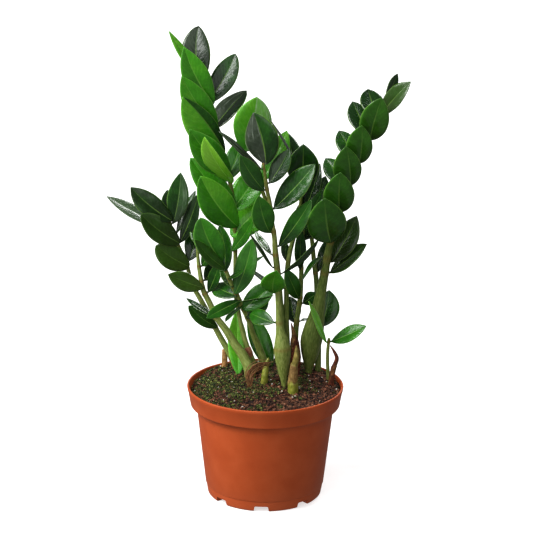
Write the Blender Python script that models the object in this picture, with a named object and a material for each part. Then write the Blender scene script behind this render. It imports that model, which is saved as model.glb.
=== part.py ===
"""A ZZ plant (Zamioculcas) growing in a moulded nursery pot.

Metres, +Z up. The origin is the centre of the pot's base, the plant's front faces -Y and
+X is to its right. Sizes below are in millimetres and degrees, and MM turns them to metres.

Each frond is a fleshy stem that stands in its own socket in the soil. Its leaflets grow in
ranks: a rank is one solid, a thin strip that follows the stem at a small gap, with the
leaflets extruded from the strip's outer faces.
"""

import math

import bmesh
import bpy
from mathutils import Quaternion, Vector

MM = 0.001

# ---------------------------------------------------------------- driving dimensions
POT_HEIGHT = 116
RIM_RADIUS = 80  # outside, at the top of the collar
COLLAR_HEIGHT = 19.6
COLLAR_TAPER = 3.4  # how much narrower the collar is at its lower edge
SHOULDER_HEIGHT = 11  # the curve that turns in under the collar
SHOULDER_DEPTH = 7.2
BASE_RADIUS = 59.6
BASE_ROUNDING = 2.0
POT_WALL = 1.6
STEP_HEIGHT = 11.6  # the fine moulded step round the foot
STEP_DEPTH = 0.6
POT_SEGMENTS = 48

CHANNEL_COUNT = 8
CHANNEL_HEIGHT = 5.8
CHANNEL_WIDTH_TOP = 13.6
CHANNEL_WIDTH_BOTTOM = 16.6
CHANNEL_LENGTH = 18
DRAIN_RADIUS = 3.5
DRAIN_INSET = 11  # the drain hole's centre, inwards from the base's edge
CHANNEL_TURN = -3  # degrees that the front channel is turned from straight ahead

SOIL_BELOW_RIM = 6.5  # the soil's edge, below the rim
SOIL_CROWN = 8  # the soil's middle, above its own edge
GAP = 0.3  # the clearance that touching pieces keep
SOCKET_GAP = 0.4
SOCKET_DEPTH = 12
SOCKET_REACH = 16  # how far a socket's cutter stands above the ground

STRIP_WIDTH = 2.4
STRIP_THICKNESS = 1.0
STRIP_STEP = 8.0  # longest stretch of strip between two of its rings
PETIOLE_HEIGHT = 2.4  # the height of the strip's face that a leaflet grows from
LEAF_THICKNESS = 1.3
LEAF_FOLD = 13  # degrees that each half of a blade rises from its midrib
LEAF_ARCH = 0.06  # how far a blade bows towards its upper face, as a share of its length
LEAF_SPREAD = 0.14  # how far it bows away from its stem, as a share of its length
LEAF_STATIONS = ((0.11, 0.16), (0.31, 0.84), (0.58, 1.00), (0.82, 0.66))  # along, share of the width
STEM_SIDES = 2  # a curve's bevel resolution: 8 sides

# ---------------------------------------------------------------- the fronds
# Routes are (x, y, height, radius) and leaflets are (height on the stem, tip, width, turn).
# Heights count from PLANT_LEVEL, the plane of the rim. A turn of 0 faces the front.
PLANT_LEVEL = POT_HEIGHT

FRONDS = {
    "left_back": {
        "route": [
            (-31, 48, 0, 3.6), (-38, 52, 15, 3.3), (-49, 56, 34, 3.0), (-60, 60, 55, 2.8),
            (-70, 63, 73, 2.6), (-78, 65, 87, 2.4), (-82, 66, 104, 2.1), (-88, 66, 120, 1.9),
            (-94, 66, 134, 1.7), (-99, 66, 149, 1.4), (-102, 66, 162, 1.0),
        ],
        "ranks": {
            "left": [
                (43, (-80, 42, 70), 13, 20), (106, (-114, 55, 131), 20, 10),
                (131, (-129, 51, 165), 22, 25), (144, (-166, 76, 178), 18, 45),
                (155, (-140, 62, 191), 20, 10),
            ],
            "right": [
                (110, (-71, 84, 146), 18, -10), (130, (-70, 52, 187), 18, -35),
                (140, (-75, 88, 182), 14, -50), (151, (-89, 60, 207), 19, -15),
            ],
            "rear": [(153, (-104, 94, 181), 16, 20)],
        },
    },
    "left_front": {
        "route": [
            (-16, 22, 5, 6.0), (-23, 26, 21, 5.2), (-32, 29, 33, 4.4), (-41, 32, 47, 3.8),
            (-51, 35, 60, 3.3), (-59, 38, 76, 3.0), (-65, 40, 88, 2.7), (-68, 42, 103, 2.3),
            (-70, 44, 117, 1.9), (-71, 46, 129, 1.4), (-72, 47, 139, 1.0),
        ],
        "ranks": {
            "left": [(61, (-83, 56, 75), 8, 60), (91, (-100, 28, 108), 18, 20)],
            "right": [
                (84, (-48, 36, 119), 13, -30), (97, (-47, 62, 120), 16, 0),
                (112, (-56, 31, 139), 12, -30), (132, (-72, 66, 155), 18, 0),
            ],
        },
    },
    "middle_front": {
        "route": [
            (-1, 40, 5, 4.4), (-7, 38, 26, 3.6), (-13, 34, 42, 2.9), (-18, 30, 59, 2.5),
            (-24, 27, 73, 2.3), (-29, 24, 86, 2.2), (-34, 21, 97, 2.1), (-38, 18, 108, 1.9),
            (-42, 15, 119, 1.7), (-46, 13, 129, 1.2),
        ],
        "ranks": {
            "left": [
                (76, (-41, 5, 65), 9, 60), (82, (-60, -2, 71), 13, 20),
                (88, (-55, 50, 91), 18, 20), (98, (-46, 35, 115), 9, 20),
                (119, (-71, -12, 156), 13, 30), (127, (-66, 2, 175), 25, -5),
            ],
            "right": [
                (62, (2, 36, 81), 14, -10), (72, (8, 22, 101), 22, -10), (81, (8, 10, 91), 9, 78),
                (90, (-15, 8, 152), 20, -15), (107, (-23, 2, 120), 8, -70),
                (116, (-48, 25, 162), 17, -20),
            ],
        },
    },
    "tall_left": {
        "route": [
            (-12, 36, 4, 3.6), (-20, 36, 30, 2.8), (-25, 38, 48, 2.3), (-29, 40, 68, 2.2),
            (-32, 42, 87, 2.1), (-32, 44, 108, 2.1), (-32, 46, 129, 2.1), (-33, 46, 156, 2.2),
            (-36, 44, 193, 2.2), (-42, 43, 219, 2.0), (-49, 42, 242, 1.9), (-54, 41, 261, 1.7),
            (-57, 40, 282, 1.5), (-60, 40, 299, 1.2), (-62, 40, 309, 1.0),
        ],
        "ranks": {
            "left": [
                (155, (-66, 14, 214), 30, 5), (176, (-77, 33, 229), 24, 5),
                (202, (-63, 2, 256), 17, 15), (211, (-77, 18, 261), 26, 5),
                (233, (-84, 18, 294), 27, 5), (259, (-85, 22, 314), 24, 5),
                (283, (-83, 28, 342), 24, 5), (301, (-98, 36, 357), 11, 30),
            ],
            "right": [
                (103, (-3, 62, 120), 9, -60), (129, (-14, 26, 169), 13, -30),
                (144, (-4, 58, 179), 22, -15), (170, (-7, 62, 212), 21, -15),
                (203, (-27, 66, 243), 14, -10), (255, (-22, 64, 293), 18, -45),
                (283, (-33, 62, 330), 22, -10), (303, (-70, 62, 358), 24, -5),
            ],
        },
    },
    "centre": {
        "route": [
            (19, -6, 2, 3.8), (18, -6, 15, 5.6), (17, -5, 36, 7.3), (16, -5, 49, 6.4),
            (14, -4, 64, 4.6), (13, -3, 83, 3.6), (12, -2, 100, 3.2), (11, -1, 120, 2.9),
            (9, 0, 137, 2.7), (8, 1, 155, 2.5), (5, 2, 173, 2.3), (3, 3, 190, 2.1),
            (0, 3, 204, 1.9), (-2, 4, 218, 1.6), (-4, 4, 231, 1.1),
        ],
        "ranks": {
            "left": [
                (68, (-17, 22, 70), 15, 10), (99, (10, -34, 131), 22, 0),
                (104, (-15, 40, 112), 9, 60), (125, (-17, -14, 164), 13, 75),
                (138, (-11, 28, 155), 10, 50), (161, (-8, -22, 204), 22, 10),
                (204, (-26, -18, 243), 19, 15), (225, (-47, -12, 267), 14, 65),
            ],
            "right": [
                (118, (53, -2, 155), 14, 70), (146, (44, -8, 197), 18, -25),
                (184, (47, -2, 232), 24, -25), (210, (22, 6, 245), 17, -20),
                (229, (-14, 8, 281), 30, -10),
            ],
        },
    },
    "centre_back": {
        "route": [
            (19, 20, 10, 3.2), (18, 24, 40, 2.8), (15, 28, 81, 2.5), (11, 32, 123, 2.3),
            (3, 37, 169, 2.1), (-9, 42, 204, 1.8), (-20, 44, 225, 1.4), (-26, 45, 236, 1.0),
        ],
        "ranks": {
            "left": [(233, (-11, 36, 291), 34, 0)],
            "right": [(202, (20, 71, 250), 20, -10)],
        },
    },
    "middle_back": {
        "route": [
            (23, 30, 9, 3.4), (22, 30, 38, 3.0), (21, 31, 61, 2.8), (21, 32, 82, 2.7),
            (21, 34, 106, 2.6), (24, 36, 130, 2.4), (29, 38, 151, 2.2), (33, 40, 172, 1.9),
            (35, 41, 189, 1.6), (34, 42, 207, 1.3), (33, 43, 220, 1.0),
        ],
        "ranks": {
            "left": [
                (120, (19, 52, 138), 9, 20),
                (213, (20, 84, 246), 16, 10), (218, (3, 55, 265), 10, 75),
            ],
            "right": [(151, (56, 30, 199), 14, -35), (168, (53, 49, 221), 15, -25)],
            "front": [(199, (36, 28, 245), 29, 0)],
        },
    },
    "right_inner": {
        "route": [
            (31, 38, 3, 3.4), (31, 39, 37, 2.9), (32, 40, 56, 2.7), (35, 42, 77, 2.6),
            (36, 43, 99, 2.4), (36, 44, 118, 2.2), (36, 45, 135, 1.9), (38, 46, 151, 1.5),
            (40, 47, 164, 1.0),
        ],
        "ranks": {
            "left": [(80, (20, 20, 117), 15, 20), (111, (35, 26, 159), 11, 10)],
            "rear": [(52, (25, 62, 75), 17, 0)],
            "right": [
                (55, (46, 50, 55), 6, -50), (74, (52, 36, 87), 12, -20), (141, (53, 60, 174), 16, -10),
            ],
        },
    },
    "right_back": {
        "route": [
            (55, 43, 0, 3.4), (55, 46, 22, 3.1), (55, 48, 48, 2.8), (53, 50, 74, 2.7),
            (52, 52, 94, 2.6), (49, 54, 118, 2.4), (47, 56, 137, 2.2), (44, 58, 155, 1.8),
            (43, 59, 170, 1.4), (43, 60, 181, 1.0),
        ],
        "ranks": {
            "left": [(145, (33, 73, 171), 13, 20), (174, (37, 56, 208), 15, 5)],
            "right": [
                (46, (66, 66, 81), 24, -5), (104, (63, 68, 137), 11, -20), (166, (60, 68, 203), 18, -10),
            ],
        },
    },
    "right_tall": {
        "route": [
            (45, 36, 2, 4.4), (46, 35, 19, 8.0), (47, 34, 36, 9.3), (50, 33, 52, 8.6),
            (53, 31, 67, 7.3), (55, 29, 81, 6.3), (57, 27, 95, 5.6), (60, 24, 115, 4.6),
            (63, 20, 137, 3.9), (66, 18, 153, 3.4), (71, 16, 172, 3.0), (76, 15, 188, 2.8),
            (82, 14, 205, 2.6), (89, 13, 225, 2.3), (95, 12, 241, 2.1), (103, 12, 257, 1.9),
            (110, 12, 275, 1.6), (117, 12, 287, 1.3), (121, 12, 296, 0.9),
        ],
        "ranks": {
            "front": [
                (147, (57, -16, 200), 35, 0), (179, (72, -14, 226), 29, 0),
                (207, (77, -14, 252), 28, 0), (230, (92, -12, 273), 28, 0),
                (254, (111, -10, 300), 30, 0), (281, (139, -2, 315), 20, -30),
            ],
            "back": [
                (204, (59, 46, 227), 20, 10), (231, (72, 44, 256), 20, 10),
                (256, (85, 44, 286), 22, 10), (275, (100, 42, 299), 22, 10),
                (291, (129, 30, 317), 11, 30),
            ],
            "low": [(112, (101, 18, 145), 22, -50), (124, (91, 30, 171), 24, -25)],
            "inner": [(129, (36, 28, 102), 12, 70)],
        },
    },
    "right_short": {
        "route": [(65, 21, 2, 1.9), (64, 20, 17, 1.8), (64, 19, 31, 1.7), (65, 17, 44, 1.4)],
        "ranks": {
            "left": [(40, (44, -2, 90), 12, 60)],
            "right": [(41, (102, 5, 62), 16, -35)],
        },
    },
}

# Leaf cuttings that stand in the soil by themselves: (foot, tip, width, turn)
CUTTINGS = {
    "cutting_left": ((-28, 28, -1), (-31, 61, 59), 18, 5),
    "cutting_right": ((6, 50, -2), (-18, 68, 57), 20, 5),
}

# Shoots and dry sheaths, as routes of (x, y, height, radius)
SHOOTS = {
    "young_shoot_front": [
        (28, -23, 3, 5.4), (28, -23, 17, 5.5), (29, -23, 27, 4.6), (31, -23, 38, 3.8),
        (31, -22, 45, 2.2), (31, -22, 49, 0.6),
    ],
    "young_shoot_small": [(-1, 2, 3, 4.0), (0, 3, 12, 4.2), (1, 5, 20, 3.0), (3, 6, 26, 1.0)],
    "withered_shoot": [
        (68, 9, 2, 3.2), (70, 9, 15, 3.6), (73, 9, 26, 3.0), (70, 9, 33, 2.0), (66, 9, 39, 0.7),
    ],
    "cut_stub": [(-43, 57.5, 2, 3.4), (-43, 57.5, 17, 3.0)],
    "dry_sheath": [
        (31, 28, 3, 4.2), (31, 28, 20, 5.0), (30, 27, 36, 4.6), (29, 27, 45, 3.2), (26, 27, 57, 0.6),
    ],
}
SHOOT_SLOTS = {
    "young_shoot_front": "shoot",
    "young_shoot_small": "shoot",
    "withered_shoot": "dry_sheath",
    "cut_stub": "dry_stub",
    "dry_sheath": "dry_sheath",
}

# The curled bract that arches in front of the stems: its middle line and its width
CURL_ROUTE = [
    (-15, -18, 2.6), (-18, -15, 11), (-16, -12, 18), (-9, -10, 22), (0, -8, 25), (8, -8, 27),
]
CURL_WIDTH = 7
CURL_THICKNESS = 1.2

# Colour, roughness
FINISHES = {
    "pot": ((0.55, 0.13, 0.05, 1), 0.45),
    "soil": ((0.05, 0.035, 0.02, 1), 0.95),
    "stem": ((0.17, 0.22, 0.06, 1), 0.5),
    "leaf": ((0.03, 0.13, 0.02, 1), 0.3),
    "shoot": ((0.35, 0.32, 0.10, 1), 0.5),
    "dry_sheath": ((0.22, 0.09, 0.04, 1), 0.8),
    "dry_stub": ((0.55, 0.36, 0.18, 1), 0.8),
}


def clear_scene():
    for obj in list(bpy.data.objects):
        bpy.data.objects.remove(obj)


def finish(name):
    """The material of a finish, made once."""
    material = bpy.data.materials.get(name)
    if material is None:
        material = bpy.data.materials.new(name)
        material.use_nodes = True
        colour, roughness = FINISHES[name]
        shader = material.node_tree.nodes["Principled BSDF"]
        shader.inputs["Base Color"].default_value = colour
        shader.inputs["Roughness"].default_value = roughness
        shader.inputs["Metallic"].default_value = 0.0
    return material


def add_mesh(name, bm, slot=None):
    """Puts a bmesh in the scene as an object; with no slot it is a cutter."""
    mesh = bpy.data.meshes.new(name)
    bm.to_mesh(mesh)
    bm.free()
    obj = bpy.data.objects.new(name, mesh)
    bpy.context.scene.collection.objects.link(obj)
    if slot is None:
        obj.hide_render = True
        obj.display_type = "WIRE"
    else:
        mesh.materials.append(finish(slot))
    return obj


def add_boolean(obj, cutter, operation):
    modifier = obj.modifiers.new(f"{operation.lower()}_{cutter.name}", "BOOLEAN")
    modifier.operation = operation
    modifier.object = cutter


def turned(name, profile, slot=None):
    """A solid of revolution about Z. The profile runs down its outer side, axis to axis."""
    mesh = bpy.data.meshes.new(name)
    points = [(radius * MM, 0, height * MM) for radius, height in profile]
    mesh.from_pydata(points, [(i, i + 1) for i in range(len(points) - 1)], [])
    obj = bpy.data.objects.new(name, mesh)
    bpy.context.scene.collection.objects.link(obj)
    screw = obj.modifiers.new("turn", "SCREW")
    screw.steps = POT_SEGMENTS
    screw.render_steps = POT_SEGMENTS
    screw.use_merge_vertices = True
    screw.merge_threshold = 0.00001
    screw.use_smooth_shade = True
    if slot is not None:
        mesh.materials.append(finish(slot))
    return obj


# ---------------------------------------------------------------- pot and soil
def wall_profile(inset):
    """The pot's side from the rim down to the foot, set in by inset, as (radius, height)."""
    collar_foot = POT_HEIGHT - COLLAR_HEIGHT
    shoulder_foot = collar_foot - SHOULDER_HEIGHT
    body_top = RIM_RADIUS - COLLAR_TAPER - SHOULDER_DEPTH
    slope = (body_top - BASE_RADIUS) / shoulder_foot
    return [
        (RIM_RADIUS - inset, POT_HEIGHT),
        (RIM_RADIUS - COLLAR_TAPER - inset, collar_foot),
        (RIM_RADIUS - COLLAR_TAPER - 0.55 * SHOULDER_DEPTH - inset, collar_foot - 0.25 * SHOULDER_HEIGHT),
        (body_top + 0.8 - inset, collar_foot - 0.7 * SHOULDER_HEIGHT),
        (body_top - inset, shoulder_foot),
        (BASE_RADIUS + slope * STEP_HEIGHT - inset, STEP_HEIGHT),
    ]


def pot_profile():
    outer = wall_profile(0)
    inner = wall_profile(POT_WALL)
    foot_radius = outer[-1][0] - STEP_DEPTH
    floor_radius = BASE_RADIUS - POT_WALL
    inside = [(0, POT_WALL), (floor_radius, POT_WALL)]
    inside += reversed(inner)
    foot = [
        (foot_radius, STEP_HEIGHT - STEP_DEPTH),
        (BASE_RADIUS - STEP_DEPTH, BASE_ROUNDING),
        (BASE_RADIUS - STEP_DEPTH - BASE_ROUNDING, 0),
        (0, 0),
    ]
    return inside + outer + foot


def channel_blocks(name, margin, over):
    """Eight tapered blocks round the foot, larger than the drain channels by margin."""
    bm = bmesh.new()
    reach = BASE_RADIUS + over
    inner = BASE_RADIUS - CHANNEL_LENGTH - margin
    height = CHANNEL_HEIGHT + margin
    floor = -over if margin == 0 else POT_WALL / 2
    for number in range(CHANNEL_COUNT):
        angle = math.radians(CHANNEL_TURN - 90 + number * 360 / CHANNEL_COUNT)
        along = Vector((math.cos(angle), math.sin(angle), 0))
        across = Vector((-math.sin(angle), math.cos(angle), 0))
        corners = []
        for distance in (inner, reach):
            for level, width in ((floor, CHANNEL_WIDTH_BOTTOM), (height, CHANNEL_WIDTH_TOP)):
                for side in (-1, 1):
                    half = side * (width / 2 + margin)
                    corners.append(along * distance + across * half + Vector((0, 0, level)))
        box = [bm.verts.new(corner * MM) for corner in corners]
        for face in ((0, 1, 3, 2), (4, 6, 7, 5), (0, 4, 5, 1), (2, 3, 7, 6), (0, 2, 6, 4), (1, 5, 7, 3)):
            bm.faces.new([box[index] for index in face])
        bmesh.ops.recalc_face_normals(bm, faces=bm.faces)
    return add_mesh(name, bm)


def build_pot():
    pot = turned("pot", pot_profile(), "pot")
    inner_reach = -POT_WALL / 2 - BASE_ROUNDING
    add_boolean(pot, channel_blocks("channel_humps", POT_WALL, inner_reach), "UNION")
    add_boolean(pot, channel_blocks("channel_cuts", 0, 4), "DIFFERENCE")
    add_boolean(pot, drain_cuts(), "DIFFERENCE")
    return pot


def drain_cuts():
    """The holes through the roofs of the drain channels."""
    bm = bmesh.new()
    for number in range(CHANNEL_COUNT):
        angle = math.radians(CHANNEL_TURN - 90 + number * 360 / CHANNEL_COUNT)
        distance = BASE_RADIUS - DRAIN_INSET
        drain = bmesh.ops.create_cone(
            bm, cap_ends=True, segments=12, radius1=DRAIN_RADIUS * MM, radius2=DRAIN_RADIUS * MM,
            depth=4 * POT_WALL * MM,
        )
        centre = (math.cos(angle) * distance, math.sin(angle) * distance, CHANNEL_HEIGHT + POT_WALL / 2)
        bmesh.ops.translate(bm, verts=drain["verts"], vec=Vector(centre) * MM)
    return add_mesh("drain_cuts", bm)


def soil_level(radius):
    """The height of the ground at a distance from the pot's axis."""
    edge = inner_radius(POT_HEIGHT - SOIL_BELOW_RIM) - GAP
    share = min(radius / edge, 1)
    return POT_HEIGHT - SOIL_BELOW_RIM + SOIL_CROWN * (1 - share**2)


def inner_radius(height):
    """The pot's inside radius in its collar."""
    drop = (POT_HEIGHT - height) / COLLAR_HEIGHT
    return RIM_RADIUS - POT_WALL - COLLAR_TAPER * drop


def build_soil():
    edge = POT_HEIGHT - SOIL_BELOW_RIM
    radius = inner_radius(edge) - GAP
    profile = [(0, soil_level(0))]
    profile += [(radius * share, soil_level(radius * share)) for share in (0.3, 0.55, 0.78)]
    profile += [(radius, edge)]
    profile += [(r - GAP, z) for r, z in wall_profile(POT_WALL)[1:]]
    profile += [(BASE_RADIUS - POT_WALL - GAP, POT_WALL + GAP), (0, POT_WALL + GAP)]
    soil = turned("soil", profile, "soil")
    humps = channel_blocks("soil_over_channels", POT_WALL + GAP, POT_WALL)
    add_boolean(soil, humps, "DIFFERENCE")
    add_boolean(soil, socket_cuts(), "DIFFERENCE")
    return soil


def sockets():
    """Every hole in the ground: (x, y, height, radius) of what stands in it."""
    holes = [frond["route"][0] for frond in FRONDS.values()]
    holes += [route[0] for route in SHOOTS.values()]
    holes += [(foot[0], foot[1], foot[2], STRIP_WIDTH) for foot, _, _, _ in CUTTINGS.values()]
    return holes


def socket_cuts():
    bm = bmesh.new()
    for x, y, height, radius in sockets():
        size = (radius + SOCKET_GAP) * MM
        low = height - SOCKET_DEPTH - SOCKET_GAP
        depth = (height + SOCKET_REACH - low) * MM
        hole = bmesh.ops.create_cone(
            bm, cap_ends=True, segments=12, radius1=size, radius2=size, depth=depth,
        )
        centre = Vector((x, y, PLANT_LEVEL + low)) * MM + Vector((0, 0, depth / 2))
        bmesh.ops.translate(bm, verts=hole["verts"], vec=centre)
    return add_mesh("socket_cuts", bm)


# ---------------------------------------------------------------- stems and shoots
def place(x, y, height):
    return Vector((x, y, PLANT_LEVEL + height))


def build_tube(name, route, slot):
    """A round tapering stem along a route, with its foot SOCKET_DEPTH down in the soil."""
    curve = bpy.data.curves.new(name, "CURVE")
    curve.dimensions = "3D"
    curve.bevel_depth = 1.0
    curve.bevel_resolution = STEM_SIDES
    curve.use_fill_caps = True
    x, y, height, radius = route[0]
    points = [(x, y, height - SOCKET_DEPTH, radius)] + list(route)
    spline = curve.splines.new("POLY")
    spline.points.add(len(points) - 1)
    for point, (px, py, pz, size) in zip(spline.points, points):
        point.co = (*(place(px, py, pz) * MM), 1)
        point.radius = size * MM
    obj = bpy.data.objects.new(name, curve)
    bpy.context.scene.collection.objects.link(obj)
    curve.materials.append(finish(slot))
    return obj


# ---------------------------------------------------------------- leaflets
def stem_at(route, height):
    """The stem's centre, radius and direction at a height."""
    for (x0, y0, z0, r0), (x1, y1, z1, r1) in zip(route, route[1:]):
        if z0 <= height <= z1:
            break
    share = (height - z0) / (z1 - z0)
    low, high = place(x0, y0, z0), place(x1, y1, z1)
    return low.lerp(high, share), r0 + (r1 - r0) * share, (high - low).normalized()


def front_normal(axis, turn):
    """The direction that a blade's upper face looks, square to its axis."""
    front = Vector((0, -0.96, 0.28))
    normal = (front - axis * front.dot(axis)).normalized()
    return Quaternion(axis, math.radians(turn)) @ normal


def blade_rings(start, tip, width, turn, outward):
    """Four corner points at each station of a blade: left edge, upper middle, right edge, lower middle."""
    length = (tip - start).length
    normal = front_normal((tip - start).normalized(), turn)
    control = start.lerp(tip, 0.42) + normal * LEAF_ARCH * length + outward * LEAF_SPREAD * length
    rings = []
    for along, share in LEAF_STATIONS:
        centre = start * (1 - along) ** 2 + control * 2 * along * (1 - along) + tip * along**2
        axis = ((control - start) * (1 - along) + (tip - control) * along).normalized()
        upper = (normal - axis * normal.dot(axis)).normalized()
        side = upper.cross(axis)
        half = width / 2 * share
        rise = half * math.tan(math.radians(LEAF_FOLD))
        thick = LEAF_THICKNESS / 2 * (1.1 - 0.5 * along)
        rings.append([
            centre + side * half + upper * rise, centre + upper * thick,
            centre - side * half + upper * rise, centre - upper * thick,
        ])
    return rings


def push_out(bm, face, targets):
    """Extrudes one face to four new corner points, starting from the nearest pairing."""
    corners = [vert.co / MM for vert in face.verts]
    middle = sum(corners, Vector()) / 4
    centre = sum(targets, Vector()) / 4
    width = max((target - centre).length for target in targets)

    def stretch(shift):
        total = 0
        for index, corner in enumerate(corners):
            here = (corner - middle).normalized()
            there = (targets[(index + shift) % 4] - centre) / width
            total -= here.dot(there)
        return total

    shift = min(range(4), key=stretch)
    moved = bmesh.ops.extrude_discrete_faces(bm, faces=[face])["faces"][0]
    for vert in moved.verts:
        index = min(range(4), key=lambda number: (corners[number] - vert.co / MM).length)
        vert.co = targets[(index + shift) % 4] * MM
    return moved


def grow_leaflet(bm, face, tip, width, turn, outward):
    start = sum((vert.co for vert in face.verts), Vector()) / 4 / MM
    for ring in blade_rings(start, tip, width, turn, outward):
        face = push_out(bm, face, ring)
    poked = bmesh.ops.poke(bm, faces=[face])
    poked["verts"][0].co = tip * MM


def rank_side(route, leaflets):
    """The average direction in which a rank leans away from its stem."""
    total = Vector()
    for height, tip, _, _ in leaflets:
        centre, _, along = stem_at(route, height)
        lean = place(*tip) - centre
        total += (lean - along * lean.dot(along)).normalized()
    return total.normalized()


def strip_ring(route, height, side):
    """The strip's four corners at a height: two by the stem, two outside."""
    centre, radius, along = stem_at(route, height)
    outward = (side - along * side.dot(along)).normalized()
    across = along.cross(outward)
    near = radius + GAP + 0.1
    far = near + STRIP_THICKNESS
    half = STRIP_WIDTH / 2
    return [
        centre + outward * near - across * half, centre + outward * far - across * half,
        centre + outward * far + across * half, centre + outward * near + across * half,
    ]


def strip_heights(leaflets, route):
    """The heights of the strip's rings, and which stretches carry a leaflet."""
    heights = []
    carries = []
    for height, _, _, _ in sorted(leaflets):
        low, high = height - PETIOLE_HEIGHT / 2, height + PETIOLE_HEIGHT / 2
        if heights:
            span = low - heights[-1]
            bends = [z for _, _, z, _ in route if heights[-1] + 1 < z < low - 1]
            count = max(1, math.ceil(span / STRIP_STEP)) - 1
            between = sorted(bends + [heights[-1] + span * (k + 1) / (count + 1) for k in range(count)])
            kept = [z for z, following in zip(between, between[1:] + [low]) if following - z > 1]
            heights += kept
            carries += [False] * (len(kept) + 1)
        heights += [low, high]
        carries.append(True)
    return heights, carries


def build_rank(name, route, leaflets):
    side = rank_side(route, leaflets)
    heights, carries = strip_heights(leaflets, route)
    bm = bmesh.new()
    rings = [[bm.verts.new(point * MM) for point in strip_ring(route, z, side)] for z in heights]
    bm.faces.new(rings[0])
    bm.faces.new(reversed(rings[-1]))
    outer = []
    for low, high in zip(rings, rings[1:]):
        for index in range(4):
            following = (index + 1) % 4
            face = bm.faces.new((low[index], high[index], high[following], low[following]))
            if index == 1:
                outer.append(face)
    bmesh.ops.recalc_face_normals(bm, faces=bm.faces)
    growing = [face for face, carry in zip(outer, carries) if carry]
    for face, (_, tip, width, turn) in zip(growing, sorted(leaflets)):
        grow_leaflet(bm, face, place(*tip), width, turn, side)
    return add_mesh(name, bm, "leaf")


def build_cutting(name, foot, tip, width, turn):
    """One blade on its own stalk, which stands in a socket."""
    bm = bmesh.new()
    half = STRIP_WIDTH / 2
    base = place(*foot)
    corners = ((-half, -half), (half, -half), (half, half), (-half, half))
    low = [bm.verts.new((base + Vector((x, y, -SOCKET_DEPTH))) * MM) for x, y in corners]
    high = [bm.verts.new((base + Vector((x, y, 0))) * MM) for x, y in corners]
    bm.faces.new(reversed(low))
    for index in range(4):
        following = (index + 1) % 4
        bm.faces.new((low[index], low[following], high[following], high[index]))
    top = bm.faces.new(high)
    bmesh.ops.recalc_face_normals(bm, faces=bm.faces)
    grow_leaflet(bm, top, place(*tip), width, turn, Vector((0, 0, 0)))
    return add_mesh(name, bm, "leaf")


def build_curl():
    """A dry bract: a flat ribbon along the curl's route, which ends in a point."""
    points = [place(*point) for point in CURL_ROUTE]
    bm = bmesh.new()
    rings = []
    for index, point in enumerate(points[:-1]):
        along = (points[index + 1] - points[max(index - 1, 0)]).normalized()
        across = along.cross(Vector((0, -1, 0))).normalized()
        share = math.sin(math.pi * (0.2 + 0.75 * index / len(points)))
        flat = across * CURL_WIDTH / 2 * share
        thick = across.cross(along) * CURL_THICKNESS / 2
        corners = (point - flat - thick, point + flat - thick, point + flat + thick, point - flat + thick)
        rings.append([bm.verts.new(corner * MM) for corner in corners])
    bm.faces.new(rings[0])
    for low, high in zip(rings, rings[1:]):
        for index in range(4):
            following = (index + 1) % 4
            bm.faces.new((low[index], high[index], high[following], low[following]))
    end = bm.verts.new(points[-1] * MM)
    for index in range(4):
        bm.faces.new((rings[-1][index], end, rings[-1][(index + 1) % 4]))
    bmesh.ops.recalc_face_normals(bm, faces=bm.faces)
    return add_mesh("curled_bract", bm, "dry_sheath")


def main():
    clear_scene()
    build_pot()
    build_soil()
    for name, frond in FRONDS.items():
        build_tube(f"stem_{name}", frond["route"], "stem")
        for rank, leaflets in frond["ranks"].items():
            build_rank(f"leaves_{name}_{rank}", frond["route"], leaflets)
    for name, (foot, tip, width, turn) in CUTTINGS.items():
        build_cutting(name, foot, tip, width, turn)
    for name, route in SHOOTS.items():
        build_tube(name, route, SHOOT_SLOTS[name])
    build_curl()


main()
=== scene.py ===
# %% [markdown]
# # A ZZ plant in its nursery pot
# This lesson dresses a plain solid model of a potted ZZ plant with its looks: glossy leaflets,
# mottled fleshy stems, dry papery sheaths, mossy potting soil and a moulded plastic pot. The solid
# model is loaded first and never changed. It says where everything is, and each finer piece is
# made around it.

import math

import bpy
import numpy as np
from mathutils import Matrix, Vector, noise


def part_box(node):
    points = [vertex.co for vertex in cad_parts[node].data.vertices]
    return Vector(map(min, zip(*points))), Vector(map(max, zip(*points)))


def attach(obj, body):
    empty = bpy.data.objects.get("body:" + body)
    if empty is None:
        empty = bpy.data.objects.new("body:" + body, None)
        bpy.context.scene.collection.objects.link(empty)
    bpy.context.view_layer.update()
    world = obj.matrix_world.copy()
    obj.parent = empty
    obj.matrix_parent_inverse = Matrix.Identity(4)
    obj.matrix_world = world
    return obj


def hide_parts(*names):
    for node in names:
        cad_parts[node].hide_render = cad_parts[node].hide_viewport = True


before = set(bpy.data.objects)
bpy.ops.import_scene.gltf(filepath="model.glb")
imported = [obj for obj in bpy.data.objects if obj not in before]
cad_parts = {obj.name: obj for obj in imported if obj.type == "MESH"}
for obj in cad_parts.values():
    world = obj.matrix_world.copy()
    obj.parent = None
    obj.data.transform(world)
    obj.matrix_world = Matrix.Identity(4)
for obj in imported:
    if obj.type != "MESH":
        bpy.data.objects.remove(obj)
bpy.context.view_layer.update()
MM = 0.001
print("solid pieces:", len(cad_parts))

# %% [markdown]
# Two small helpers do most of the work on materials. One turns a colour that is written as an sRGB
# hex value into the linear numbers that a shader wants. The other adds a shader node, sets its
# options and joins its inputs, so that each material below reads as a list of what it is made of.

# %% Colour and node helpers
def hex_colour(code):
    """An sRGB hex colour as linear red, green, blue and alpha."""
    parts = [int(code[start:start + 2], 16) / 255 for start in (1, 3, 5)]
    return tuple(p / 12.92 if p <= 0.04045 else ((p + 0.055) / 1.055) ** 2.4 for p in parts) + (1.0,)


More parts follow.
